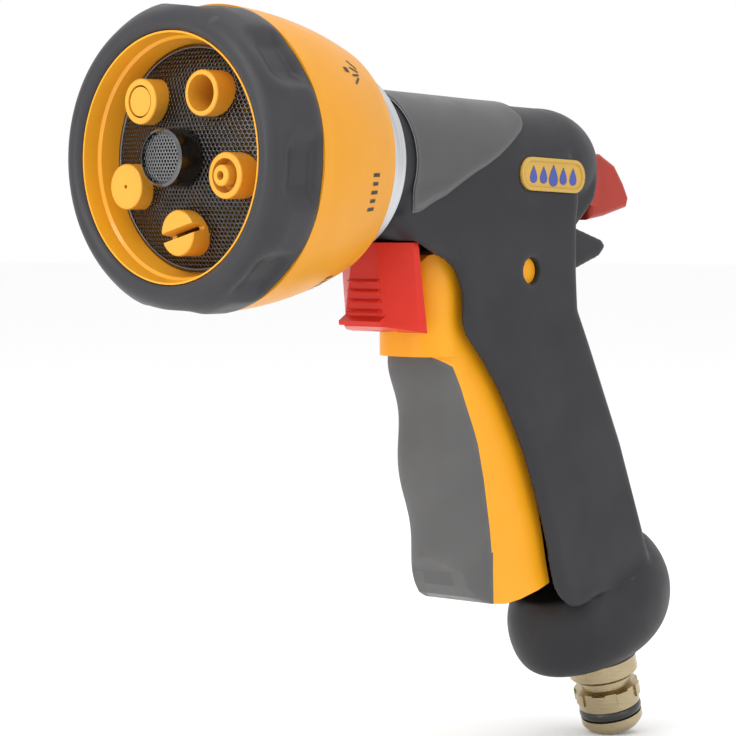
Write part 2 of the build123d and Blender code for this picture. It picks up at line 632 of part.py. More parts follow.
# ---------------------------------------------------------------- flow control
LEVER_HUB_IN = HOUSING_Y + 0.3
LEVER_HUB_OUT = 9.3
THUMB_Y = 7.0
DRUM_SEAL_Y = (-5.2, 5.2)
with BuildPart() as flow_drum:
    add(cross_rod(DRUM, -HOUSING_Y, HOUSING_Y, DRUM_R))
    add(cross_rod(DRUM, -LEVER_HUB_OUT, LEVER_HUB_OUT, 2.5))
    add(rod(DRUM[0], DRUM[0] + 6, 2.0, (0, DRUM[1])), mode=Mode.SUBTRACT)
    with BuildSketch(level(DRUM[1])):
        with Locations((DRUM[0], 0)):
            Circle(1.8)
    extrude(amount=6, mode=Mode.SUBTRACT)
    for y in DRUM_SEAL_Y:
        with BuildSketch(Plane(origin=(FACE_X + DRUM[0], y, BARREL_Z + DRUM[1]), z_dir=(0, 1, 0))):
            Circle(DRUM_R + 1)
            Circle(DRUM_R - 0.72, mode=Mode.SUBTRACT)
        extrude(amount=0.55, both=True, mode=Mode.SUBTRACT)
flow_drum.part.label = "flow_drum"
export_step(flow_drum.part, "parts/flow_drum.step")

with BuildPart() as drum_seals:
    for y in DRUM_SEAL_Y:
        with BuildSketch(Plane(origin=(FACE_X + DRUM[0], y, BARREL_Z + DRUM[1]), z_dir=(0, 1, 0))):
            Circle(DRUM_R - 0.02)
            Circle(DRUM_R - 0.7, mode=Mode.SUBTRACT)
        extrude(amount=0.5, both=True)
drum_seals.part.label = "drum_seals"
export_step(drum_seals.part, "parts/drum_seals.step")

with BuildPart() as flow_lever:
    thumb = [(-138.6, 2.6), (-143.5, 3.2), (-149.4, 0.4), (-153.0, -4.0), (-155.2, -7.8), (-154.4, -10.2),
             (-145.3, -12.4), (-138.6, -13.4)]
    add(slab(thumb, THUMB_Y))
    fillet(flow_lever.edges().group_by(Axis.Y)[0] + flow_lever.edges().group_by(Axis.Y)[-1], 1.5)
    for y in (1, -1):
        with BuildSketch(SIDE.offset(-y * LEVER_HUB_IN)):
            outline([(DRUM[0], DRUM[1] + 4), (-140.0, -1.0), (-140.0, -10.0), (DRUM[0], DRUM[1] - 4)])
            with Locations(DRUM):
                Circle(4.0)
        extrude(amount=-y * (LEVER_HUB_OUT - LEVER_HUB_IN))
    add(cavity_box(-140.0, -136.0, -10.0, -1.0, LEVER_HUB_OUT))
    add(cross_rod(DRUM, -10, 10, 2.5), mode=Mode.SUBTRACT)
flow_lever.part.label = "flow_lever"
export_step(flow_lever.part, "parts/flow_lever.step")

# ---------------------------------------------------------------- route of the handle tube
TUBE_R = 6.3
TUBE_BORE = 3.2
TUBE_SPIGOT_R = 4.6
SPIGOT_LENGTH = 7.5


def tube_body(radius):
    """Bent round bar that follows the handle from the hose plug to the valve housing."""
    with BuildPart() as body:
        with BuildLine(SIDE):
            route = FilletPolyline(tube_foot, tube_knee, tube_top, radius=60)
        with BuildSketch(Plane(origin=route @ 0, z_dir=route % 0)):
            Circle(radius)
        sweep(path=route)
    return body.part


# ---------------------------------------------------------------- casing
TOP_LINE = [(CASING_FRONT, 16.9), (-62.5, 16.3), (-97.0, 15.0), (-124.0, 14.2)]
DOME_PEAK = (-138.2, 9.5)
DOME_END = (-144.3, 0)
# front edge of both flanks: the mouth that the trigger swings into, then the lower front corner
GRIP_FRONT = [(-60.0, -12.5), (-64.0, -16.8), (-69.1, -20.3), (-74.4, -22.4), (-78.6, -24.9), (-81.0, -28.6),
              (-81.8, -33.0), (-82.2, -38.2), (-84.5, -42.0), (-88.9, -46.5), (-94.4, -53.0), (-100.1, -61.7),
              (-105.8, -72.2), (-109.7, -81.7), (-113.6, -92.2), (-116.0, -101.0), (-119.0, -106.0),
              (-124.5, -109.4), (-131.0, -111.0)]
GRIP_REAR = [(-155.5, -110.0), (-154.6, -97.6), (-142.4, -68.5), (-130.0, -44.0), (-125.2, -35.0),
             (-124.6, -26.0), (-124.6, -14.0), (-125.5, -8.0)]
BEAK = [(-120.0, -14.6), (-127.0, -14.6), (-140.1, -18.4), (-141.6, -20.0), (-138.9, -22.4),
        (-127.3, -26.2), (-120.0, -27.0)]
BEAK_Y = 10.0
CHEEK_Y = 12.0
BOSS = (-66.5, -14.5)
casing_screw_at = [(-71.0, -15.2), (-128.5, -20.5)]


def casing_blank():
    """Outer form of both casing halves before it is hollowed and split."""
    with BuildPart() as form:
        with BuildSketch(SIDE):
            with BuildLine():
                Polyline((SPIGOT[0], 0), SPIGOT, (CASING_FRONT, SPIGOT[1]), *TOP_LINE)
                ThreePointArc(TOP_LINE[-1], DOME_PEAK, DOME_END)
                Line(DOME_END, (SPIGOT[0], 0))
            make_face()
        revolve(axis=BARREL)
        with BuildPart(mode=Mode.PRIVATE) as grip:
            with BuildSketch(SIDE):
                with BuildLine():
                    Spline(*GRIP_FRONT)
                    Polyline(GRIP_FRONT[-1], *GRIP_REAR, (-122.0, 3.5), (-60.0, 3.5), GRIP_FRONT[0])
                make_face()
            extrude(amount=FLANK_Y, both=True)
            fillet(grip.edges().group_by(Axis.Y)[0] + grip.edges().group_by(Axis.Y)[-1], 3.0)
        add(grip.part)
        add(slab([(-118.0, -15.5), (-127.0, -15.0), (-134.2, -8.4), (-136.0, -2.5), (-128.0, 2.0),
                  (-118.0, 2.0)], CHEEK_Y))
        add(slab(BEAK, BEAK_Y))
        add(cross_rod(BOSS, -9.0, 9.0, 4.0))
    return form.part


def casing_hollow():
    """Space inside the casing: barrel bore, lever bay, trigger bay and grip."""
    inner = [(x, r - SKIN) for x, r in TOP_LINE]
    with BuildPart() as space:
        add(turned([(CASING_FRONT - 4, 0), (CASING_FRONT - 4, 13.9), *inner[2:],
                    (-133.0, 10.4), (-138.6, 6.5), (-140.0, 0)]))
        add(rod(CASING_FRONT - 5, SPIGOT[0] + 1, NECK_R + 0.1))
        add(slab([(-58.0, -120.0), (-58.0, -18.2), (-79.0, -18.2), (-82.0, -15.5), (-121.8, -15.5),
                  (-122.0, -36.0), (-127.3, -46.0), (-139.9, -71.0), (-150.4, -93.0), (-152.3, -98.0),
                  (-152.3, -120.0)],
                 FLANK_Y - SKIN))
        add(cavity_box(-119.0, -95.0, -16.0, 4.0, 11.2))
        add(cavity_box(-134.5, -116.0, -12.8, 5.0, 9.7))
        add(slab([(-122.0, 4.2), (-152.0, 4.2), (-152.0, -15.0), (-142.0, -19.0), (-128.0, -14.9),
                  (-122.0, -12.8)], THUMB_Y + 0.5))
        add(slab([(-134.0, 2.0), (-141.0, 2.0), (-141.0, -14.0), (-134.0, -13.5)], LEVER_HUB_OUT + 0.4))
        add(cross_rod(PIVOT, -FLANK_Y - 1, FLANK_Y + 1, TRUNNION_R + RUNNING))
        add(tube_body(TUBE_R + 0.1))
    return space.part


BADGE_X = -113.3
BADGE_Z = -2.6
BADGE_LEAN = 2.0
BADGE_LENGTH = 24.0
BADGE_HEIGHT = 7.7


def badge_blank(side, inner_y, outer_y, margin=0.0):
    """Round-cornered plate on one flank, side +1 for the left."""
    place = Plane(origin=(FACE_X + BADGE_X, side * inner_y, BARREL_Z + BADGE_Z),
                  x_dir=(cos(radians(BADGE_LEAN)), 0, sin(radians(BADGE_LEAN))), z_dir=(0, side, 0))
    with BuildPart() as plate:
        with BuildSketch(place):
            RectangleRounded(BADGE_LENGTH + margin, BADGE_HEIGHT + margin, 3.0 + margin / 2)
        extrude(amount=outer_y - inner_y)
    return plate.part


blank = casing_blank()
hollow = casing_hollow()
for side, name in ((1, "casing_left"), (-1, "casing_right")):
    with BuildPart() as casing_half:
        add(blank)
        add(hollow, mode=Mode.SUBTRACT)
        split(bisect_by=Plane.XZ, keep=Keep.BOTTOM if side > 0 else Keep.TOP)
        with BuildSketch(PLUG.offset(BASE_SEAT)):
            Rectangle(160, 80)
        extrude(amount=-60, mode=Mode.SUBTRACT)
        add(badge_blank(side, FLANK_Y - 0.5, FLANK_Y + 1, 0.2), mode=Mode.SUBTRACT)
        for centre in casing_screw_at:
            add(cross_rod(centre, -9.0, 9.0, 1.1), mode=Mode.SUBTRACT)
        if side < 0:
            for centre in casing_screw_at:
                add(cross_rod(centre, -30.0, -6.5, 2.1), mode=Mode.SUBTRACT)
    casing_half.part.label = name
    export_step(casing_half.part, f"parts/{name}.step")

with BuildPart() as casing_screws:
    for centre in casing_screw_at:
        add(cross_rod(centre, -8.2, -6.5, 2.0))
        add(cross_rod(centre, -6.5, 8.5, 1.05))
        add(cross_rod(centre, -8.3, -7.4, 0.9), mode=Mode.SUBTRACT)
casing_screws.part.label = "casing_screws"
export_step(casing_screws.part, "parts/casing_screws.step")

for side, name in ((1, "badge_left"), (-1, "badge_right")):
    with BuildPart() as badge:
        add(badge_blank(side, FLANK_Y - 0.5, FLANK_Y + 0.4))
    badge.part.label = name
    export_step(badge.part, f"parts/{name}.step")

COVER = 0.6  # the cover stands this far proud of the casing
COVER_SIDE = [(-62.5, 20.0), (-62.5, -9.8), (-73.0, -7.2), (-106.5, 9.8), (-108.0, 12.0), (-107.0, 20.0)]
with BuildPart() as barrel_cover:
    add(turned([(-62.5, 16.35), (-62.5, 16.9), (-97.0, 15.0 + COVER), (-110.0, 14.65 + COVER),
                (-110.0, 14.7), (-97.0, 15.05)]))
    add(slab(COVER_SIDE, 20), mode=Mode.INTERSECT)
    with BuildSketch(level(0)):
        with Locations((-120.0, 0)):
            Circle(20.5)
    extrude(amount=20, mode=Mode.SUBTRACT)
    add(slab([(-60.0, 3.6), (-60.0, -20.0), (-122.0, -20.0), (-122.0, 3.6)], FLANK_Y + 0.1),
        mode=Mode.SUBTRACT)
barrel_cover.part.label = "barrel_cover"
export_step(barrel_cover.part, "parts/barrel_cover.step")

# ---------------------------------------------------------------- water inlet
with BuildPart() as handle_tube:
    add(tube_body(TUBE_R))
    add(tube_spigot(TUBE_R + 1, -SPIGOT_LENGTH, 1.0, TUBE_SPIGOT_R), mode=Mode.SUBTRACT)
    add(tube_spigot(TUBE_R, -4.0, -3.0, TUBE_SPIGOT_R - 0.75), mode=Mode.SUBTRACT)
    add(plug_turned([(0, BASE_LOW), (9.4, BASE_LOW), (9.4, 34.0), (0, 36.0)]))
    add(tube_body(TUBE_BORE), mode=Mode.SUBTRACT)
    add(plug_turned([(0, BASE_LOW - 1), (6.6, BASE_LOW - 1), (6.6, 31.5), (TUBE_BORE, 33.5), (0, 33.5)]),
        mode=Mode.SUBTRACT)
handle_tube.part.label = "handle_tube"
export_step(handle_tube.part, "parts/handle_tube.step")

with BuildPart() as tube_oring:
    add(tube_spigot(TUBE_SPIGOT_R + 0.02, -3.95, -3.05, TUBE_SPIGOT_R - 0.73))
tube_oring.part.label = "tube_oring"
export_step(tube_oring.part, "parts/tube_oring.step")

BASE_LEAN = 20.0
BASE_X = -149.8
BASE_Z = -115.3
base_sin, base_cos = sin(radians(BASE_LEAN)), cos(radians(BASE_LEAN))
BASE = Plane(origin=(FACE_X + BASE_X, 0, BARREL_Z + BASE_Z), x_dir=(base_cos, 0, -base_sin),
             z_dir=(base_sin, 0, base_cos))
# height above the base's middle, centre ahead of its axis, half length, half width
BASE_SECTIONS = [
    (16.0, -1.0, 20.2, 14.4), (13.0, -0.5, 22.6, 16.0), (9.0, 0.0, 24.2, 18.0), (4.5, 0.4, 25.0, 18.6),
    (0.0, 0.8, 24.4, 18.2), (-3.6, 1.4, 22.6, 17.0), (-6.3, 1.9, 19.4, 14.8), (-8.2, 2.1, 14.6, 11.6),
]
POCKET_LOW = 22.0
POCKET_HIGH = 34.0
with BuildPart() as base_cap:
    for height, centre, half_length, half_width in BASE_SECTIONS:
        with BuildSketch(BASE.offset(height)):
            with Locations((centre, 0)):
                Ellipse(half_length, half_width)
    loft()
    add(plug_turned([(0, BASE_LOW - 1), (9.5, BASE_LOW - 1), (9.5, BASE_TOP + 1), (0, BASE_TOP + 1)]),
        mode=Mode.SUBTRACT)
    with BuildSketch(PLUG.offset(POCKET_LOW)):  # closed hollow that keeps the wall even
        with Locations((7.0, 0)):
            RectangleRounded(30.0, 24.0, 9.0)
    extrude(amount=POCKET_HIGH - POCKET_LOW, mode=Mode.SUBTRACT)
    with BuildPart(mode=Mode.PRIVATE) as socket:
        add(blank)
        with BuildSketch(PLUG.offset(BASE_SEAT)):
            Rectangle(160, 80)
        extrude(amount=-60, mode=Mode.SUBTRACT)
    add(socket.part, mode=Mode.SUBTRACT)
base_cap.part.label = "base_cap"
export_step(base_cap.part, "parts/base_cap.step")

LUG_COUNT = 8
with BuildPart() as hose_plug:
    add(plug_turned([
        (4.2, -5.0), (6.4, -5.0), (7.2, -4.2), (PLUG_R, -3.2), (PLUG_R, -1.35), (6.3, -1.35), (6.3, 1.35),
        (PLUG_R, 1.35), (PLUG_R, 3.0), (8.5, 3.3), (8.5, 6.2), (6.3, 6.8), (6.3, 8.8), (8.2, 9.4),
        (8.9, 10.2), (8.9, BASE_LOW - 0.3), (6.5, BASE_LOW - 0.3), (6.5, 30.0), (5.0, 31.0), (5.0, -3.8),
    ]))
    with BuildSketch(PLUG.offset(3.0)):
        with PolarLocations(8.7, LUG_COUNT):
            Rectangle(1.6, 3.0)
    extrude(amount=3.4, mode=Mode.SUBTRACT)
hose_plug.part.label = "hose_plug"
export_step(hose_plug.part, "parts/hose_plug.step")

with BuildPart() as plug_oring:
    with BuildSketch(PLUG_SIDE):
        with Locations((RING_R - 0.87, 0)):
            Ellipse(0.87, 1.3)
    revolve(axis=PLUG_AXIS)
plug_oring.part.label = "plug_oring"
export_step(plug_oring.part, "parts/plug_oring.step")

with BuildPart() as plug_washer:
    add(plug_turned([(6.55, BASE_LOW - 0.3), (8.8, BASE_LOW - 0.3), (8.8, BASE_LOW), (6.55, BASE_LOW)]))
plug_washer.part.label = "plug_washer"
export_step(plug_washer.part, "parts/plug_washer.step")

with BuildPart() as inlet_filter:
    add(plug_turned([(4.9, -3.0), (4.9, 0.0), (3.0, 12.0), (0, 12.0), (0, 11.4), (2.4, 11.4), (4.3, -0.2),
                     (4.3, -3.0)]))
    for height in (2.0, 4.5, 7.0, 9.5):
        for turn in (0, 60, 120):
            centre = PLUG.from_local_coords(Vector(0, 0, height))
            sideways = PLUG.from_local_coords(Vector(cos(radians(turn)), sin(radians(turn)), 0))
            with BuildSketch(Plane(origin=centre, z_dir=sideways)):
                Circle(0.6)
            extrude(amount=8, both=True, mode=Mode.SUBTRACT)
inlet_filter.part.label = "inlet_filter"
export_step(inlet_filter.part, "parts/inlet_filter.step")

# ---------------------------------------------------------------- trigger
# height, foremost reach of the grip; the dips between are the finger grooves
GRIP_FRONT_LINE = [(-43.5, -76.4), (-50.4, -76.6), (-57.0, -79.2), (-64.0, -79.8), (-72.0, -79.6),
                   (-81.0, -82.2), (-90.0, -84.4), (-98.5, -84.9), (-106.5, -87.2)]
GRIP_PAD = 2.6
GRIP_CORE_Y = 9.3
REAR_LINE = [(-43.5, -97.0), (-50.4, -100.0), (-57.0, -103.5), (-64.0, -107.0), (-72.0, -110.0),
             (-81.0, -113.0), (-90.0, -115.5), (-98.5, -117.5), (-106.5, -118.4)]
GRIP_EDGE = [(-74.0, -45.0), (-78.5, -45.6), (-82.7, -47.9), (-85.6, -53.5), (-88.2, -59.5), (-91.2, -66.8),
             (-93.4, -75.3), (-95.7, -87.5), (-96.9, -97.2), (-97.3, -110.0), (-60.0, -110.0), (-60.0, -45.0)]
BOTTOM_CUT = [(-72.0, -92.0), (-84.0, -94.0), (-88.4, -97.8), (-89.6, -101.0), (-92.5, -103.8),
              (-96.5, -105.4), (-101.8, -105.9), (-107.2, -105.3), (-114.0, -103.8), (-122.0, -101.2), (-122.0, -120.0),
              (-72.0, -120.0)]


def trigger_stack(inset, half):
    """Loft of the trigger's sections from its top to its foot."""
    with BuildPart() as stack:
        for (z, front), (_, rear) in zip(GRIP_FRONT_LINE, REAR_LINE):
            nose = front - inset - half
            with BuildSketch(level(z)):
                with BuildLine():
                    Polyline((nose, -half), (rear, -half), (rear, half), (nose, half))
                    ThreePointArc((nose, half), (front - inset, 0), (nose, -half))
                make_face()
        loft()
    return stack.part


TRIGGER_NOSE = -74.6
TRIGGER_TOP = [(TRIGGER_NOSE, -24.5), (-76.5, -21.6), (-80.5, -20.6), (-88.0, -23.5), (-99.0, -21.0),
               (-100.2, -22.5), (-103.2, -12.0), (-103.2, 2.4), (-108.0, 2.4), (-109.6, -20.0),
               (-110.5, -29.0), (-104.0, -34.0), (-98.0, -45.5), (TRIGGER_NOSE, -45.5)]
RAIL_NECK = 2.0
RAIL_HEAD = 3.6
with BuildPart() as trigger:
    add(trigger_stack(0, TRIGGER_Y))
    add(slab(GRIP_EDGE, 20), mode=Mode.SUBTRACT)
    add(trigger_stack(GRIP_PAD, GRIP_CORE_Y))
    with BuildSketch(SIDE):
        outline(TRIGGER_TOP)
    extrude(amount=TRIGGER_Y, both=True)
    top_front = trigger.edges().filter_by(GeomType.LINE).filter_by_position(
        Axis.X, FACE_X + TRIGGER_NOSE - 0.1, FACE_X + TRIGGER_NOSE + 0.1).filter_by(Axis.Z)
    fillet(top_front, 8.0)
    add(cavity_box(-125.0, -95.5, -42.0, 5.0, 8.0), mode=Mode.SUBTRACT)
    add(slab([(-95.6, -42.0), (-95.6, -26.0), (-90.0, -26.0), (-86.5, -34.0), (-90.0, -42.0)], 8.0),
        mode=Mode.SUBTRACT)
    with BuildSketch(level(-38.0)):
        with Locations((-73.0, 0)):
            Rectangle(3.6, 2 * RAIL_NECK)
        with Locations((-70.6, 0)):
            Rectangle(1.6, 2 * RAIL_HEAD)
    extrude(amount=13.0)
    for y in (1, -1):
        add(cross_rod(PIVOT, y * 8.0, y * (FLANK_Y - 2.0), TRUNNION_R))
    add(slab(BOTTOM_CUT, 20), mode=Mode.SUBTRACT)
    # hollow behind the blade, open to the rear
    hollow_front = [(z, front - GRIP_PAD - 3.0) for z, front in GRIP_FRONT_LINE]
    add(slab([(-125.0, -50.0), *[(x, z) for z, x in hollow_front[1:-1]], (-125.0, -98.5)],
             GRIP_CORE_Y - 2.0), mode=Mode.SUBTRACT)
trigger.part.label = "trigger"
export_step(trigger.part, "parts/trigger.step")

with BuildPart() as trigger_grip:
    add(trigger_stack(0, TRIGGER_Y))
    add(slab(GRIP_EDGE, 20), mode=Mode.INTERSECT)
    add(slab(BOTTOM_CUT, 20), mode=Mode.SUBTRACT)
    add(trigger_stack(GRIP_PAD, GRIP_CORE_Y), mode=Mode.SUBTRACT)
    add(cavity_box(-78.0, -73.0, -45.6, -20.0, 20), mode=Mode.SUBTRACT)
trigger_grip.part.label = "trigger_grip"
export_step(trigger_grip.part, "parts/trigger_grip.step")

LOCK_FRONT = -62.6
LOCK_TOP = -18.6
LOCK_FOOT = -39.6
RIDGE_COUNT = 4
RIDGE_PITCH = 2.3
RIDGE_HALF = 5.2
# height, half width of the front face, flank corner and rear edge of the flank
LOCK_SECTIONS = [(LOCK_FOOT - 0.4, 6.6, -69.0, -71.4), (LOCK_TOP, 3.6, -66.8, -68.2)]
LOCK_BACK = TRIGGER_NOSE + GAP
LOCK_Y = 11.8
with BuildPart() as lock_slide:
    for z, half_front, flank, rear in LOCK_SECTIONS:
        left_side = [(LOCK_FRONT, half_front), (flank, LOCK_Y - 0.3), (rear, LOCK_Y), (rear - 0.4, 9.4),
                     (LOCK_BACK, 6.5)]
        with BuildSketch(level(z)):
            outline(left_side + [(x, -y) for x, y in reversed(left_side)])
    loft(ruled=True)
    add(slab([(-50.0, -50.0), (-50.0, LOCK_FOOT + 3.8), (-61.0, LOCK_FOOT + 1.8), (-71.2, LOCK_FOOT),
              (-80.0, LOCK_FOOT), (-80.0, -50.0)], 20), mode=Mode.SUBTRACT)
    with BuildSketch(level(LOCK_FOOT - 1)):
        with Locations((-73.0, 0)):
            Rectangle(4.2, 2 * (RAIL_NECK + GAP))
        with Locations((-70.6, 0)):
            Rectangle(2.2, 2 * (RAIL_HEAD + GAP))
    extrude(amount=LOCK_TOP - LOCK_FOOT + 2, mode=Mode.SUBTRACT)
    for k in range(RIDGE_COUNT):
        z = LOCK_FOOT + 4.6 + RIDGE_PITCH * k
        ridge = [(LOCK_FRONT - 0.3, z), (LOCK_FRONT + 0.9, z + 0.5), (LOCK_FRONT - 0.3, z + 1.3)]
        add(slab(ridge, RIDGE_HALF - 0.15 * k))
    add(slab([(LOCK_FRONT - 1, LOCK_FOOT + 2.1), (LOCK_FRONT + 1.7, LOCK_FOOT + 1.8),
              (LOCK_FRONT + 1.9, LOCK_FOOT + 2.8), (LOCK_FRONT - 1, LOCK_FOOT + 4.6)], 6.4))
lock_slide.part.label = "lock_slide"
export_step(lock_slide.part, "parts/lock_slide.step")
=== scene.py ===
import bpy
import bmesh
from math import cos, pi, radians, sin
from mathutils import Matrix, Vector
from mathutils.bvhtree import BVHTree


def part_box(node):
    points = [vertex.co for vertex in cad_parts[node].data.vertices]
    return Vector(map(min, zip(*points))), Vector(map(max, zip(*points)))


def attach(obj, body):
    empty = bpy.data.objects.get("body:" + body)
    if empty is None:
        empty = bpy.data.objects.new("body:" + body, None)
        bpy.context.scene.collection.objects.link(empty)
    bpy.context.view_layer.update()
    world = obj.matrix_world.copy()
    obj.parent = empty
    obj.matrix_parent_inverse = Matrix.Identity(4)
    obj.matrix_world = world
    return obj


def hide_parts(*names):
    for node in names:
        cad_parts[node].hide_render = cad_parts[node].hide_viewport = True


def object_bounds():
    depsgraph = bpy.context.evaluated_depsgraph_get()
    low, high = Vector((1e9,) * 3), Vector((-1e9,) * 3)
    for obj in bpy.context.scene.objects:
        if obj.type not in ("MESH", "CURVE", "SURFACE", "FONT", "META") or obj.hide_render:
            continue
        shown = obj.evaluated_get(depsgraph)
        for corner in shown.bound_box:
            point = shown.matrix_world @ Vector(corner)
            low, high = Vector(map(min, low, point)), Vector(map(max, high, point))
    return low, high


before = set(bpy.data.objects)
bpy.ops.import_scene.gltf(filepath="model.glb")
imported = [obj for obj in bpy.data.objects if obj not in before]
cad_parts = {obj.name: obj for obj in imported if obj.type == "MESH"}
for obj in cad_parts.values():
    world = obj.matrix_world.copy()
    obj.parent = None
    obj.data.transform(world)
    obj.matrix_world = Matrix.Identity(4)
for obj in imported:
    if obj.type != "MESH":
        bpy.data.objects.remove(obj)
cad_low, cad_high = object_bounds()

# ---------------------------------------------------------------- places, in metres
MM = 0.001
face_low, face_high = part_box("face_cup")
FACE_X = face_high[0]  # front rim of the head
BARREL_Z = (face_low[2] + face_high[2]) / 2  # barrel axis
FLOOR_Z = cad_low[2]


def at(x, y, z):
    """Point given in millimetres from the head's rim, the middle plane and the barrel axis."""
    return Vector((FACE_X + x * MM, y * MM, BARREL_Z + z * MM))


# ---------------------------------------------------------------- camera
CAMERA_FOCAL = 137.0
camera_data = bpy.data.cameras.new("camera")
camera_data.lens = CAMERA_FOCAL
camera_data.sensor_width = 36.0
camera_data.clip_start = 0.01
camera = bpy.data.objects.new("camera", camera_data)
bpy.context.scene.collection.objects.link(camera)
camera.location = at(417.4, 438.4, -12.9)
aim = at(-63.87, 0.0, -47.77)
camera.rotation_euler = (aim - camera.location).to_track_quat("-Z", "Y").to_euler()
bpy.context.scene.camera = camera


# ---------------------------------------------------------------- material helpers
def new_material(name):
    """Empty node material with its shader and output."""
    material = bpy.data.materials.new(name)
    material.use_nodes = True
    nodes = material.node_tree.nodes
    return material, nodes, material.node_tree.links, nodes["Principled BSDF"]


def object_coords(nodes, links, scale=(1.0, 1.0, 1.0)):
    """Object-space coordinates, stretched."""
    coords = nodes.new("ShaderNodeTexCoord")
    mapping = nodes.new("ShaderNodeMapping")
    mapping.inputs["Scale"].default_value = scale
    links.new(coords.outputs["Object"], mapping.inputs["Vector"])
    return mapping.outputs["Vector"]


def noise(nodes, links, vector, scale, detail=4.0, rough=0.55):
    """Noise texture's factor."""
    texture = nodes.new("ShaderNodeTexNoise")
    texture.inputs["Scale"].default_value = scale
    texture.inputs["Detail"].default_value = detail
    texture.inputs["Roughness"].default_value = rough
    links.new(vector, texture.inputs["Vector"])
    return texture.outputs["Fac"]


def spread(nodes, links, value, low, high, from_low=0.3, from_high=0.7):
    """Value mapped to a range."""
    ranged = nodes.new("ShaderNodeMapRange")
    ranged.inputs["From Min"].default_value = from_low
    ranged.inputs["From Max"].default_value = from_high
    ranged.inputs["To Min"].default_value = low
    ranged.inputs["To Max"].default_value = high
    links.new(value, ranged.inputs["Value"])
    return ranged.outputs["Result"]


def blend_colour(nodes, links, factor, first, second):
    """Two colours mixed by a factor."""
    mix = nodes.new("ShaderNodeMix")
    mix.data_type = "RGBA"
    mix.inputs["A"].default_value = (*first, 1)
    mix.inputs["B"].default_value = (*second, 1)
    links.new(factor, mix.inputs["Factor"])
    return mix.outputs["Result"]


def convex_edge_factor(nodes, links):
    """Factor that pales convex edges; nothing in creases."""
    geometry = nodes.new("ShaderNodeNewGeometry")
    return spread(nodes, links, geometry.outputs["Pointiness"], 0.0, 1.0, 0.49, 0.56)


def moulded(name, colour, roughness=0.45, grain=2500.0, bump=0.15, tone=0.12, coat=0.0, edge=0.25,
            sheen=0.0, spec=0.5):
    """Moulded plastic or rubber: fine spark-eroded grain, faint flow tone, paler convex edges."""
    material, nodes, links, shader = new_material(name)
    vector = object_coords(nodes, links)
    cloud = noise(nodes, links, vector, 45.0, 3.0)
    darker = tuple(c * (1 - tone) for c in colour)
    lighter = tuple(min(1.0, c * (1 + tone) + 0.004) for c in colour)
    base = blend_colour(nodes, links, spread(nodes, links, cloud, 0, 1), darker, lighter)
    # colour made paler on convex edges, found from the mesh's pointiness
    paler_edges = nodes.new("ShaderNodeMix")
    paler_edges.data_type = "RGBA"
    paler_edges.inputs["B"].default_value = (*(min(1.0, c * 1.6 + 0.03) for c in colour), 1)
    scaled = nodes.new("ShaderNodeMath")
    scaled.operation = "MULTIPLY"
    scaled.inputs[1].default_value = edge
    links.new(convex_edge_factor(nodes, links), scaled.inputs[0])
    links.new(scaled.outputs[0], paler_edges.inputs["Factor"])
    links.new(base, paler_edges.inputs["A"])
    links.new(paler_edges.outputs["Result"], shader.inputs["Base Color"])
    grain_value = noise(nodes, links, vector, grain, 2.0, 0.6)
    smear = noise(nodes, links, vector, 120.0, 3.0)
    links.new(spread(nodes, links, smear, roughness * 0.88, roughness * 1.12), shader.inputs["Roughness"])
    relief = nodes.new("ShaderNodeBump")
    relief.inputs["Strength"].default_value = bump
    relief.inputs["Distance"].default_value = 0.0001
    links.new(grain_value, relief.inputs["Height"])
    links.new(relief.outputs["Normal"], shader.inputs["Normal"])
    shader.inputs["Coat Weight"].default_value = coat
    shader.inputs["Coat Roughness"].default_value = 0.12
    shader.inputs["Sheen Weight"].default_value = sheen
    shader.inputs["Specular IOR Level"].default_value = spec
    return material


def second_colour(material, colour, rearmost, highest):
    """Colours a moulding like its soft pad, in front of one height line and below another."""
    nodes, links = material.node_tree.nodes, material.node_tree.links
    shader = next(node for node in nodes if node.type == "BSDF_PRINCIPLED")
    first = shader.inputs["Base Color"].links[0].from_socket
    parts = nodes.new("ShaderNodeSeparateXYZ")
    links.new(object_coords(nodes, links), parts.inputs[0])
    masks = []
    for output, operation, threshold in (("X", "GREATER_THAN", rearmost), ("Z", "LESS_THAN", highest)):
        mask = nodes.new("ShaderNodeMath")
        mask.operation = operation
        mask.inputs[1].default_value = threshold
        links.new(parts.outputs[output], mask.inputs[0])
        masks.append(mask)
    both = nodes.new("ShaderNodeMath")
    both.operation = "MULTIPLY"
    for mask, socket in zip(masks, both.inputs):
        links.new(mask.outputs[0], socket)
    mixed = nodes.new("ShaderNodeMix")
    mixed.data_type = "RGBA"
    mixed.inputs["B"].default_value = (*colour, 1)
    links.new(both.outputs[0], mixed.inputs["Factor"])
    links.new(first, mixed.inputs["A"])
    links.new(mixed.outputs["Result"], shader.inputs["Base Color"])


def metal(name, colour, roughness=0.25, brushed=(60.0, 2000.0, 2000.0), bump=0.1, tone=0.08):
    """Metal with fine turning or brushing marks."""
    material, nodes, links, shader = new_material(name)
    vector = object_coords(nodes, links, brushed)
    lines = noise(nodes, links, vector, 1.0, 3.0)
    darker = tuple(c * (1 - tone) for c in colour)
    lighter = tuple(min(1.0, c * (1 + tone)) for c in colour)
    base = blend_colour(nodes, links, spread(nodes, links, lines, 0, 1), darker, lighter)
    links.new(base, shader.inputs["Base Color"])
    links.new(spread(nodes, links, lines, roughness * 0.8, roughness * 1.25), shader.inputs["Roughness"])
    shader.inputs["Metallic"].default_value = 1.0
    relief = nodes.new("ShaderNodeBump")
    relief.inputs["Strength"].default_value = bump
    relief.inputs["Distance"].default_value = 0.00005
    links.new(lines, relief.inputs["Height"])
    links.new(relief.outputs["Normal"], shader.inputs["Normal"])
    return material


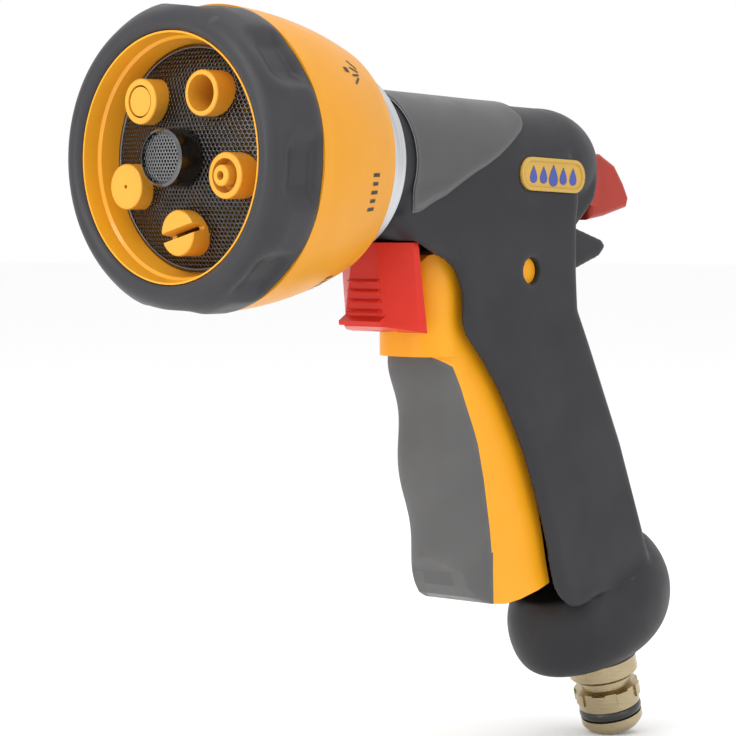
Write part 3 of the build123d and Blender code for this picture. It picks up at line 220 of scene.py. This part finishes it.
# ---------------------------------------------------------------- materials
PAD_GREY = (0.092, 0.092, 0.092)
CASING = moulded("casing_nylon", (0.017, 0.017, 0.020), 0.46, 3200.0, 0.3, 0.10, edge=0.4, spec=0.26)
BASE = moulded("base_nylon", (0.026, 0.026, 0.029), 0.48, 3200.0, 0.3, 0.10, edge=0.4, spec=0.28)
BEZEL = moulded("bezel_rubber", (0.022, 0.022, 0.026), 0.44, 2600.0, 0.35, 0.12, edge=0.5, spec=0.3)
GRIP = moulded("grip_rubber", PAD_GREY, 0.6, 2200.0, 0.35, 0.10, edge=0.2, spec=0.3)
SHELL = moulded("shell_yellow", (0.66, 0.275, 0.008), 0.38, 3600.0, 0.12, 0.04, edge=0.08, spec=0.3)
CUP = moulded("cup_yellow", (0.80, 0.345, 0.015), 0.24, 4200.0, 0.05, 0.04, coat=0.15, edge=0.1, spec=0.4)
NOZZLE = moulded("nozzle_yellow", (0.70, 0.32, 0.025), 0.3, 4200.0, 0.06, 0.04, coat=0.1, edge=0.12,
                 spec=0.4)
TRIGGER = moulded("trigger_yellow", (0.84, 0.345, 0.006), 0.36, 3600.0, 0.10, 0.03, edge=0.06, spec=0.28)
# the trigger's core shows at the lower corner of its soft pad, and is coloured like the pad there
PAD_REAR = -96.9
PAD_CORNER_TOP = -93.0
second_colour(TRIGGER, PAD_GREY, at(PAD_REAR, 0, 0).x, at(0, 0, PAD_CORNER_TOP).z)
LOCK = moulded("lock_red", (0.57, 0.017, 0.005), 0.36, 3600.0, 0.10, 0.05, edge=0.12, spec=0.28)
LEVER = moulded("lever_red", (0.34, 0.024, 0.012), 0.36, 3600.0, 0.10, 0.05, edge=0.12, spec=0.3)
BADGE = moulded("badge_yellow", (0.52, 0.31, 0.040), 0.3, 4200.0, 0.05, 0.03, coat=0.2, edge=0.1, spec=0.4)
BADGE_BLUE = moulded("badge_blue", (0.020, 0.045, 0.30), 0.3, 4200.0, 0.05, 0.05, coat=0.4, edge=0.05)
PRINT = moulded("print_black", (0.012, 0.012, 0.012), 0.5, 4200.0, 0.1, 0.1, edge=0.0)
# pale grey of the strip along the panel's border: a painted edge highlight
PAINTED_BORDER_HIGHLIGHT = moulded("panel_painted_highlight", (0.22, 0.22, 0.225), 0.35, 4200.0, 0.1, 0.06, coat=0.2, edge=0.2)
INNER = moulded("inner_nylon", (0.012, 0.012, 0.012), 0.5, 2600.0, 0.2, 0.1)
ACETAL = moulded("acetal", (0.70, 0.70, 0.66), 0.35, 3600.0, 0.1, 0.03)
SEAL = moulded("seal_rubber", (0.010, 0.010, 0.010), 0.3, 3000.0, 0.1, 0.1, edge=0.1, coat=0.2)
STEEL = metal("steel", (0.60, 0.60, 0.61), 0.3)
COLLAR = metal("collar_metal", (0.55, 0.56, 0.58), 0.34, (1500.0, 40.0, 40.0), 0.06)
BRASS = metal("brass", (0.75, 0.58, 0.28), 0.3)
PLATED = metal("plated_brass", (0.42, 0.345, 0.215), 0.24, (300.0, 300.0, 2500.0), 0.10)
# dark colour of the polished steel shower plate, its rim and the rose housing: painted dark reflection
STEEL_PAINTED_REFLECTION = metal("dark_chrome", (0.14, 0.14, 0.145), 0.2, (2500.0, 50.0, 50.0), 0.06)
# near-black colour of the polished steel shower plate: painted dark reflection of the surroundings
SHOWER_PAINTED_REFLECTION = metal("perforated_steel", (0.060, 0.057, 0.056), 0.17, (700.0, 700.0, 700.0), 0.25, 0.25)
MESH_STEEL = metal("mesh_steel", (0.22, 0.22, 0.22), 0.3, (2500.0, 2500.0, 2500.0), 0.2)
PANEL = moulded("satin_panel", (0.060, 0.060, 0.061), 0.38, 5200.0, 0.12, 0.06, edge=0.5, spec=0.32)

NODE_MATERIALS = {
    "casing_left": CASING, "casing_right": CASING, "base_cap": BASE, "barrel_cover": PANEL,
    "neck_collar": COLLAR, "valve_housing": INNER, "port_plate": INNER, "plate_screws": STEEL,
    "port_seal": SEAL, "detent_plunger": ACETAL, "detent_spring": STEEL, "neck_oring": SEAL,
    "gland_seal": SEAL, "gland_nut": BRASS, "spring_stop": ACETAL, "handle_tube": INNER,
    "tube_oring": SEAL, "hose_plug": PLATED, "plug_oring": SEAL, "plug_washer": SEAL,
    "inlet_filter": MESH_STEEL, "casing_screws": STEEL, "badge_left": BADGE, "badge_right": BADGE,
    "valve_spring": STEEL, "bezel_grip": BEZEL, "head_shell": SHELL, "face_cup": CUP,
    "shower_plate": STEEL_PAINTED_REFLECTION, "soaker_nozzle": NOZZLE, "cone_nozzle": NOZZLE, "cone_core": NOZZLE,
    "mist_nozzle": NOZZLE, "fan_nozzle": NOZZLE, "jet_nozzle": NOZZLE, "rose_housing": STEEL_PAINTED_REFLECTION,
    "rose_screen": MESH_STEEL, "turret_disc": INNER, "turret_retainer": INNER, "turret_screws": STEEL,
    "head_screws": STEEL, "trigger": TRIGGER, "trigger_grip": GRIP, "lock_slide": LOCK,
    "flow_lever": LEVER, "flow_drum": ACETAL, "drum_seals": SEAL, "valve_spindle": BRASS,
    "valve_washer": SEAL, "spindle_pin": STEEL,
}
for name, material in NODE_MATERIALS.items():
    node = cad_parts[name]
    node.data.materials.clear()
    node.data.materials.append(material)

# ---------------------------------------------------------------- mesh helpers
def add_mesh(name, vertices, faces, material, body, smooth=True):
    """New mesh piece that rides on a body."""
    mesh = bpy.data.meshes.new(name)
    mesh.from_pydata(vertices, [], faces)
    mesh.validate()
    mesh.materials.append(material)
    if smooth:
        mesh.shade_smooth()
    piece = bpy.data.objects.new(name, mesh)
    bpy.context.scene.collection.objects.link(piece)
    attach(piece, body)
    return piece


def put_on(piece, kind, **settings):
    """Modifier with its settings."""
    modifier = piece.modifiers.new(kind.lower(), kind)
    for key, value in settings.items():
        setattr(modifier, key, value)
    return modifier


def baked_mesh(piece):
    """Mesh of an object with its modifiers applied."""
    graph = bpy.context.evaluated_depsgraph_get()
    return bpy.data.meshes.new_from_object(piece.evaluated_get(graph))


def ease(value, low, high):
    """0 below low, 1 above high, smooth between."""
    t = min(1.0, max(0.0, (value - low) / (high - low)))
    return t * t * (3 - 2 * t)


def along_line(points, value):
    """Value read off a line of (position, value) points with rising positions."""
    if value <= points[0][0]:
        return points[0][1]
    for (a, va), (b, vb) in zip(points, points[1:]):
        if value <= b:
            return va + (vb - va) * (value - a) / (b - a)
    return points[-1][1]


def round_barrel(x, radius, angle):
    """Point about the barrel axis, angle in degrees from +Y towards +Z."""
    return at(x, radius * cos(radians(angle)), radius * sin(radians(angle)))


# ---------------------------------------------------------------- casing and base, flowing together
PLUG_TILT = 16.7
BASE_SEAT = 38.0
tilt = Vector((sin(radians(PLUG_TILT)), 0, cos(radians(PLUG_TILT))))
VOXEL = 0.65
EVEN_PASSES = 6
FOOT_PASSES = 14
SHOULDER_PASSES = 30


def blended_body():
    """Both casing halves and the base as one skin with soft junctions."""
    joined = bmesh.new()
    for name in ("casing_left", "casing_right", "base_cap"):
        joined.from_mesh(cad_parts[name].data)
    mesh = bpy.data.meshes.new("joined_casing")
    joined.to_mesh(mesh)
    joined.free()
    skin = bpy.data.objects.new("joined_casing", mesh)
    bpy.context.scene.collection.objects.link(skin)
    put_on(skin, "REMESH", mode="VOXEL", voxel_size=VOXEL * MM, use_smooth_shade=True)
    remeshed = baked_mesh(skin)
    bpy.data.objects.remove(skin)
    skin = bpy.data.objects.new("casing_skin", remeshed)
    bpy.context.scene.collection.objects.link(skin)
    everywhere = skin.vertex_groups.new(name="all")
    foot = skin.vertex_groups.new(name="foot")
    shoulder = skin.vertex_groups.new(name="shoulder")
    everywhere.add(range(len(remeshed.vertices)), 1.0, "REPLACE")
    for vertex in remeshed.vertices:
        place = vertex.co
        height = place.dot(tilt) / MM
        outward = vertex.normal
        sideways = outward.y * place.y > 0.15 * abs(place.y)
        outside = sideways or outward.x < -0.3 or outward.dot(tilt) < -0.3
        near_seat = 1 - ease(abs(height - BASE_SEAT - 1.0), 4.0, 9.0)
        if outside and near_seat > 0:
            foot.add([vertex.index], near_seat, "REPLACE")
        local = place - at(0, 0, 0)
        x, z = local.x / MM, local.z / MM
        near_barrel = (1 - ease(abs(z - 3.0), 3.0, 8.0)) * ease(-x, 58.0, 64.0)
        if outside and near_barrel > 0 and abs(place.y) > 11 * MM and not (-127 < x < -99 and -8 < z < 3.5):
            shoulder.add([vertex.index], near_barrel, "REPLACE")
    put_on(skin, "SMOOTH", factor=0.5, iterations=EVEN_PASSES, vertex_group="all")
    put_on(skin, "SMOOTH", factor=0.5, iterations=FOOT_PASSES, vertex_group="foot").name = "foot"
    shoulder_smooth = put_on(skin, "SMOOTH", factor=0.5, iterations=SHOULDER_PASSES,
                             vertex_group="shoulder")
    shoulder_smooth.name = "shoulder"
    smoothed = baked_mesh(skin)
    bpy.data.objects.remove(skin)
    return smoothed


def cut_part(source, name, cuts, material, body):
    """Part of a mesh on the positive side of each (point, normal) cut."""
    work = bmesh.new()
    work.from_mesh(source)
    for point, normal in cuts:
        everything = work.verts[:] + work.edges[:] + work.faces[:]
        bmesh.ops.bisect_plane(work, geom=everything, plane_co=point, plane_no=normal, clear_inner=True)
    mesh = bpy.data.meshes.new(name)
    work.to_mesh(mesh)
    work.free()
    mesh.materials.clear()
    mesh.materials.append(material)
    mesh.shade_smooth()
    piece = bpy.data.objects.new(name, mesh)
    bpy.context.scene.collection.objects.link(piece)
    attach(piece, body)
    return piece


SEAM = 0.06 * MM
body_skin = blended_body()
seat_point = tilt * BASE_SEAT * MM
for side, name in ((1, "left"), (-1, "right")):
    seam_cut = (Vector((0, side * SEAM, 0)), Vector((0, side, 0)))
    half_shell = cut_part(body_skin, f"casing_{name}_skin", [seam_cut, (seat_point, tilt)], CASING, "body")
    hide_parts(f"casing_{name}")
base_shell = cut_part(body_skin, "base_skin", [(seat_point, -tilt)], CASING, "body")
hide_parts("base_cap")

# ---------------------------------------------------------------- satin panel on the barrel, pale strip round it as a painted edge highlight
body_work = bmesh.new()
body_work.from_mesh(body_skin)
body_tree = BVHTree.FromBMesh(body_work)
# place along the barrel, angle of the panel's lower edge
PANEL_EDGE = [(62.3, -37.0), (64.8, -35.8), (68.8, -30.9), (73.3, -26.1), (78.0, -18.1), (82.7, -9.5),
              (87.8, -1.8), (92.3, 5.9), (96.6, 14.7), (100.0, 22.5), (103.4, 30.5), (105.8, 39.0),
              (107.0, 49.0), (107.4, 62.0)]


def on_body(x, angle, lift):
    """Point of the body's skin seen from the barrel axis, lifted off it."""
    direction = Vector((0, cos(radians(angle)), sin(radians(angle))))
    start = at(x, 0, 0) + direction * 40 * MM
    hit, normal, _, _ = body_tree.ray_cast(start, -direction)
    if hit is None:
        return at(x, 16 * cos(radians(angle)), 16 * sin(radians(angle)))
    return hit + direction * lift * MM


def wrapped_strip(name, lines, lift, thickness, material):
    """Sheet through lines of (x, angle) points on the body's skin."""
    vertices = [on_body(x, angle, lift) for line in lines for x, angle in line]
    count = len(lines[0])
    faces = []
    for row in range(len(lines) - 1):
        for k in range(count - 1):
            a = row * count + k
            faces.append((a, a + 1, a + count + 1, a + count))
    piece = add_mesh(name, vertices, faces, material, "body")
    put_on(piece, "SOLIDIFY", thickness=thickness * MM, offset=-1.0)
    return piece


FRONT_STEPS = 23
SIDE_STEPS = 59
TOP_STEPS = 13


def panel_border(side, inset):
    """Border of the panel on one side, as (x, angle) points from the front edge round to the top."""
    points = []
    front, lowest = PANEL_EDGE[0]
    rear, highest = PANEL_EDGE[-1]
    for k in range(FRONT_STEPS + 1):
        points.append((-front - inset, 90 - (90 - lowest - inset * 3.6) * k / FRONT_STEPS))
    for k in range(1, SIDE_STEPS + 1):
        place = front + (rear - front) * (k / SIDE_STEPS) ** 0.8
        points.append((-place + inset * 0.6, along_line(PANEL_EDGE, place) + inset * 3.0))
    top_start = highest + inset * 3
    for k in range(1, TOP_STEPS + 1):
        points.append((-rear + inset, top_start + (90 - top_start) * k / TOP_STEPS))
    return [(x, angle if side > 0 else 180 - angle) for x, angle in points]


COLUMNS = 70
ROWS = 44
panel_lines = []
for k in range(COLUMNS):
    place = PANEL_EDGE[0][0] + (PANEL_EDGE[-1][0] - PANEL_EDGE[0][0]) * k / (COLUMNS - 1)
    low_angle = along_line(PANEL_EDGE, place)
    panel_lines.append([(-place, low_angle + (180 - 2 * low_angle) * n / (ROWS - 1)) for n in range(ROWS)])
panel = wrapped_strip("barrel_panel", panel_lines, 0.35, 0.5, PANEL)
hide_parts("barrel_cover")
for side, name in ((1, "left"), (-1, "right")):
    # pale strips along both borders of the panel: painted edge highlight
    highlight_lines = [panel_border(side, -0.05), panel_border(side, 0.55)]
    highlight_strip = wrapped_strip(f"panel_painted_highlight_{name}", highlight_lines, 0.5, 0.3, PAINTED_BORDER_HIGHLIGHT)

# ---------------------------------------------------------------- head: rubber bezel with thumb dips
DIPS = 8
DIP_ANGLE = -5.0
DIP_DEPTH = 2.1
DIP_HALO = 0.45
OUTER_BAND = 31.0
BEZEL_PROFILE = [(-13.5, 30.3), (-13.5, 33.3), (-13.2, 33.75), (-12.4, 34.05), (-11.0, 34.25), (-9.5, 34.3),
                 (-8.0, 34.3), (-6.5, 34.3), (-5.2, 34.3), (-4.2, 34.2), (-3.3, 33.95), (-2.4, 33.6),
                 (-1.6, 33.2), (-0.8, 32.7), (0.0, 32.1), (0.6, 31.5), (1.0, 30.9), (1.25, 30.2),
                 (1.3, 29.4), (1.15, 28.8), (0.8, 28.2), (0.3, 27.7), (-0.2, 27.45), (-0.9, 27.4), (-0.9, 30.3)]
AROUND = 480


def dip_depth(x, angle):
    """How deep the bezel is scooped at a place."""
    step = 360 / DIPS
    off = abs((angle - DIP_ANGLE + step / 2) % step - step / 2)
    across_dip = 1 - ease(off, 5.5, 16.0)
    lengthwise = ease(x, -13.6, -10.5) * (1 - ease(x, -5.6, -1.2))
    halo = (1 - ease(off, 3.0, 20.0)) * ease(x, -14.0, -13.0) * (1 - ease(x, -3, 1))
    return DIP_DEPTH * across_dip * lengthwise + DIP_HALO * halo


fine_profile = []
for (xa, ra), (xb, rb) in zip(BEZEL_PROFILE, BEZEL_PROFILE[1:]):
    steps = 3 if abs(xb - xa) > 0.6 else 1
    fine_profile += [(xa + (xb - xa) * n / steps, ra + (rb - ra) * n / steps) for n in range(steps)]
ring = len(fine_profile)
bezel_vertices = []
for k in range(AROUND):
    angle = 360 * k / AROUND
    for x, radius in fine_profile:
        depth = dip_depth(x, angle) if radius > OUTER_BAND else 0.0
        bezel_vertices.append(round_barrel(x, radius - depth, angle))
bezel_faces = []
for k in range(AROUND):
    for n in range(ring):
        a, b = k * ring + n, k * ring + (n + 1) % ring
        c, d = ((k + 1) % AROUND) * ring + (n + 1) % ring, ((k + 1) % AROUND) * ring + n
        bezel_faces.append((a, d, c, b))
bezel = add_mesh("bezel", bezel_vertices, bezel_faces, BEZEL, "head")
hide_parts("bezel_grip")


# ---------------------------------------------------------------- head: shower plate and rose mesh
ROW_STEP = 0.866  # distance between rows of hexagonal cells, over their pitch


def perforated(name, radius, pitch, hole, surface, material, body, keep=None):
    """Domed sheet of hexagonal cells, each with a round hole, the cells stopping short of the edge."""
    vertices, faces = [], []
    rim_at = radius - 0.4 * pitch
    rows = int(radius / (pitch * ROW_STEP)) + 1
    for row in range(-rows, rows + 1):
        for column in range(-rows - 1, rows + 2):
            cy = (column + 0.5 * (row % 2)) * pitch
            cz = row * pitch * ROW_STEP
            reach = (cy * cy + cz * cz) ** 0.5
            if reach > rim_at or (keep and not keep(cy, cz)):
                continue
            first = len(vertices)
            for n in range(6):
                turn = radians(30 + 60 * n)
                corner = pitch / 3 ** 0.5
                vertices.append(surface(cy + corner * cos(turn), cz + corner * sin(turn)))
            for n in range(12):
                turn = radians(30 + 30 * n)
                vertices.append(surface(cy + hole * cos(turn), cz + hole * sin(turn)))
            for n in range(6):
                outer_a, outer_b = first + n, first + (n + 1) % 6
                ring_at = first + 6
                a, b, c = ring_at + 2 * n, ring_at + 2 * n + 1, ring_at + (2 * n + 2) % 12
                faces.append((outer_a, outer_b, c, b, a))
    piece = add_mesh(name, vertices, faces, material, body)
    work = bmesh.new()
    work.from_mesh(piece.data)
    bmesh.ops.remove_doubles(work, verts=work.verts, dist=0.02 * MM)
    bmesh.ops.recalc_face_normals(work, faces=work.faces)
    work.to_mesh(piece.data)
    work.free()
    return piece


PLATE_RIM = -8.8
PLATE_RISE = 4.8
PLATE_R = 24.7
dome_radius = (PLATE_R ** 2 + PLATE_RISE ** 2) / (2 * PLATE_RISE)


def plate_surface(y, z):
    """Point of the domed shower plate."""
    drop = dome_radius - (max(0.0, dome_radius ** 2 - y * y - z * z)) ** 0.5
    return at(PLATE_RIM + PLATE_RISE - drop, y, z)


NOZZLES = 5
NOZZLE_RING = 16.2
NOZZLE_TURN = 58
NOZZLE_CLEARANCE = 4.6
ROSE_CLEARANCE = 6.0
nozzle_turns = [radians(NOZZLE_TURN + 360 / NOZZLES * k) for k in range(NOZZLES)]
nozzle_spots = [(NOZZLE_RING * cos(turn), NOZZLE_RING * sin(turn)) for turn in nozzle_turns]


def clear_of_nozzles(y, z):
    """True where the plate isn't hidden by a nozzle or the rose."""
    if (y * y + z * z) ** 0.5 < ROSE_CLEARANCE:
        return False
    return all(((y - a) ** 2 + (z - b) ** 2) ** 0.5 > NOZZLE_CLEARANCE for a, b in nozzle_spots)


# the plate's dark colour is a painted reflection, not the steel's own colour
shower = perforated("shower_sheet", PLATE_R - 0.2, 1.05, 0.27, plate_surface, SHOWER_PAINTED_REFLECTION, "head",
                    clear_of_nozzles)
put_on(shower, "SOLIDIFY", thickness=0.4 * MM, offset=-1.0)
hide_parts("shower_plate")
# rim in the same dark steel: painted dark reflection
rim_vertices, rim_faces = [], []
RIM_STEPS = 144
for k in range(RIM_STEPS):
    turn = radians(360 * k / RIM_STEPS)
    for radius, lift in ((24.75, -0.1), (24.75, 0.25), (24.2, 0.3), (23.9, 0.1), (23.9, -0.35)):
        point = plate_surface(radius * cos(turn) * 0.998, radius * sin(turn) * 0.998)
        rim_vertices.append(point + Vector((lift * MM, 0, 0)))
    for n in range(4):
        a, b = k * 5 + n, ((k + 1) % RIM_STEPS) * 5 + n
        rim_faces.append((a, b, b + 1, a + 1))
plate_rim = add_mesh("shower_rim", rim_vertices, rim_faces, STEEL_PAINTED_REFLECTION, "head")


def screen_surface(y, z):
    """Point of the rose's mesh."""
    return at(2.15 - 0.012 * (y * y + z * z), y, z)


rose_mesh = perforated("rose_mesh", 5.75, 0.86, 0.33, screen_surface, MESH_STEEL, "head")
put_on(rose_mesh, "SOLIDIFY", thickness=0.25 * MM, offset=-1.0)
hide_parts("rose_screen")

# ---------------------------------------------------------------- badge
BADGE_LEAN = 2.0
BADGE_X, BADGE_FACE, BADGE_Z = -113.3, 15.2, -2.6
BADGE_LENGTH = 24.2
BADGE_HEIGHT = 8.0
BORDER = 0.9
DROPS = 5
DROP_PITCH = 3.8


def badge_point(side, u, v, out):
    """Point on a flank's badge, u forwards, v up, out from the flank, in millimetres."""
    lean = radians(BADGE_LEAN)
    x = BADGE_X + u * cos(lean) - v * sin(lean)
    z = BADGE_Z + u * sin(lean) + v * cos(lean)
    return at(x, side * (BADGE_FACE + out), z)


def stadium(length, height, count=20):
    """Outline of a round-ended plate."""
    r = height / 2
    reach = length / 2 - r
    right = [(reach + r * cos(t), r * sin(t)) for t in [pi * (n / count - 0.5) for n in range(count + 1)]]
    return right + [(-u, -v) for u, v in right]


def drop_shape(u, v, size, count=20):
    """Outline of a water drop with its tip up."""
    points = []
    for n in range(count):
        t = 2 * pi * n / count
        width = size * sin(t) * sin(t / 2) ** 1.4
        points.append((u + 1.05 * width, v + 1.2 * size * cos(t)))
    return points


def fill(name, outline, side, low, high, material):
    """Raised flat shape on a flank."""
    count = len(outline)
    vertices = [badge_point(side, u, v, out) for out in (low, high) for u, v in outline]
    faces = [tuple(range(count, 2 * count))]
    faces += [(n, (n + 1) % count, count + (n + 1) % count, count + n) for n in range(count)]
    piece = add_mesh(name, vertices, faces, material, "body", smooth=False)
    work = bmesh.new()
    work.from_mesh(piece.data)
    bmesh.ops.recalc_face_normals(work, faces=work.faces)
    work.to_mesh(piece.data)
    work.free()
    put_on(piece, "BEVEL", width=0.12 * MM, segments=2, limit_method="ANGLE")
    return piece


for side, name in ((1, "left"), (-1, "right")):
    plate = fill(f"badge_{name}_plate", stadium(BADGE_LENGTH, BADGE_HEIGHT), side, -0.5, 0.25, BADGE)
    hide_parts(f"badge_{name}")
    outer = stadium(BADGE_LENGTH, BADGE_HEIGHT)
    inner = stadium(BADGE_LENGTH - 2 * BORDER, BADGE_HEIGHT - 2 * BORDER)
    count = len(outer)
    border_vertices = []
    for outline, out in ((outer, 0.2), (outer, 0.55), (inner, 0.55), (inner, 0.2)):
        border_vertices += [badge_point(side, u, v, out) for u, v in outline]
    border_faces = []
    for band in range(3):
        for n in range(count):
            a, b = band * count + n, band * count + (n + 1) % count
            border_faces.append((a, b, b + count, a + count))
    border = add_mesh(f"badge_{name}_border", border_vertices, border_faces, BADGE, "body")
    for k in range(DROPS):
        size = 2.2 if k == DROPS // 2 else 1.75
        drop = drop_shape(DROP_PITCH * (k - DROPS // 2), -0.1, size)
        mark = fill(f"badge_{name}_drop_{k}", drop, side, 0.2, 0.42, BADGE_BLUE)

# ---------------------------------------------------------------- printed marks on the head's shell
SHELL_LINE = [(-42.7, 27.5), (-36.0, 29.9), (-28.5, 31.75), (-20.0, 33.1), (-13.5, 33.75)]


DEGREES_PER_MM = 1.9
PRINT_LIFT = 0.09


def shell_mark(name, outline):
    """Thin printed shape, its outline in (x, angle) on the shell."""
    vertices = [round_barrel(x, along_line(SHELL_LINE, x) + PRINT_LIFT, angle) for x, angle in outline]
    return add_mesh(name, vertices, [tuple(range(len(vertices)))], PRINT, "head", smooth=False)


def shell_bar(name, x, angle, length, width, lean=0.0):
    """Printed stroke about a place on the shell, length along the barrel in millimetres."""
    outline = []
    for u, v in ((-0.5, -0.5), (0.5, -0.5), (0.5, 0.5), (-0.5, 0.5)):
        du, dv = u * length, v * width
        around = (du * sin(lean) + dv * cos(lean)) * DEGREES_PER_MM
        outline.append((x + du * cos(lean) - dv * sin(lean), angle + around))
    return shell_mark(name, outline)


PATTERNS = 7
for pattern in range(PATTERNS):
    middle = -14.0 + 360 / PATTERNS * pattern
    if pattern % 2 == 0:
        for k in range(5):
            shell_bar(f"print_bar_{pattern}_{k}", -33.4, middle + 3.6 * (k - 2), 2.6 - 0.5 * (k % 2), 0.8)
    else:
        for k in range(4):
            shell_bar(f"print_spray_{pattern}_{k}", -32.0 - 0.5 * k, middle + 3.0 * (k - 1.5), 3.0, 0.55,
                      0.45 * (k - 1.5))
        shell_bar(f"print_stem_{pattern}", -29.4, middle, 1.6, 1.3)

# ---------------------------------------------------------------- floor and light
FLOOR_SIZE = 12.0
floor_mesh = bpy.data.meshes.new("floor")
half = FLOOR_SIZE / 2
floor_mesh.from_pydata(
    [(-half, -half, FLOOR_Z), (half, -half, FLOOR_Z), (half, half, FLOOR_Z), (-half, half, FLOOR_Z)],
    [], [(0, 1, 2, 3)])
floor = bpy.data.objects.new("floor", floor_mesh)
bpy.context.scene.collection.objects.link(floor)
floor_material, _, _, floor_shader = new_material("floor_white")
floor_shader.inputs["Base Color"].default_value = (0.97, 0.97, 0.97, 1)
floor_shader.inputs["Roughness"].default_value = 0.8
floor.data.materials.append(floor_material)

bpy.context.scene.view_settings.view_transform = "Standard"
world = bpy.data.worlds.new("studio")
bpy.context.scene.world = world
world.use_nodes = True
world.node_tree.nodes["Background"].inputs["Color"].default_value = (1, 1, 1, 1)
world.node_tree.nodes["Background"].inputs["Strength"].default_value = 1.0


def soft_light(name, place, aim_at, size, power):
    """Area light at a place, aimed at another."""
    data = bpy.data.lights.new(name, "AREA")
    data.energy = power
    data.size = size
    light = bpy.data.objects.new(name, data)
    bpy.context.scene.collection.objects.link(light)
    light.location = place
    light.rotation_euler = (aim_at - place).to_track_quat("-Z", "Y").to_euler()
    return light


centre = at(-60, 0, -40)
soft_light("key", centre + Vector((0.75, 0.10, 0.65)), centre, 0.5, 3.5)
soft_light("fill", centre + Vector((0.05, 0.95, 0.25)), centre, 0.6, 1.2)
strip = soft_light("strip", at(0, 0, 0) + Vector((0.988, -0.104, 0.156)) * 0.9, at(-8, 10, 2), 0.12, 1.6)
strip.data.shape = "RECTANGLE"
strip.data.size_y = 0.45
soft_light("top", centre + Vector((-0.15, 0.1, 1.0)), centre, 0.7, 2.0)
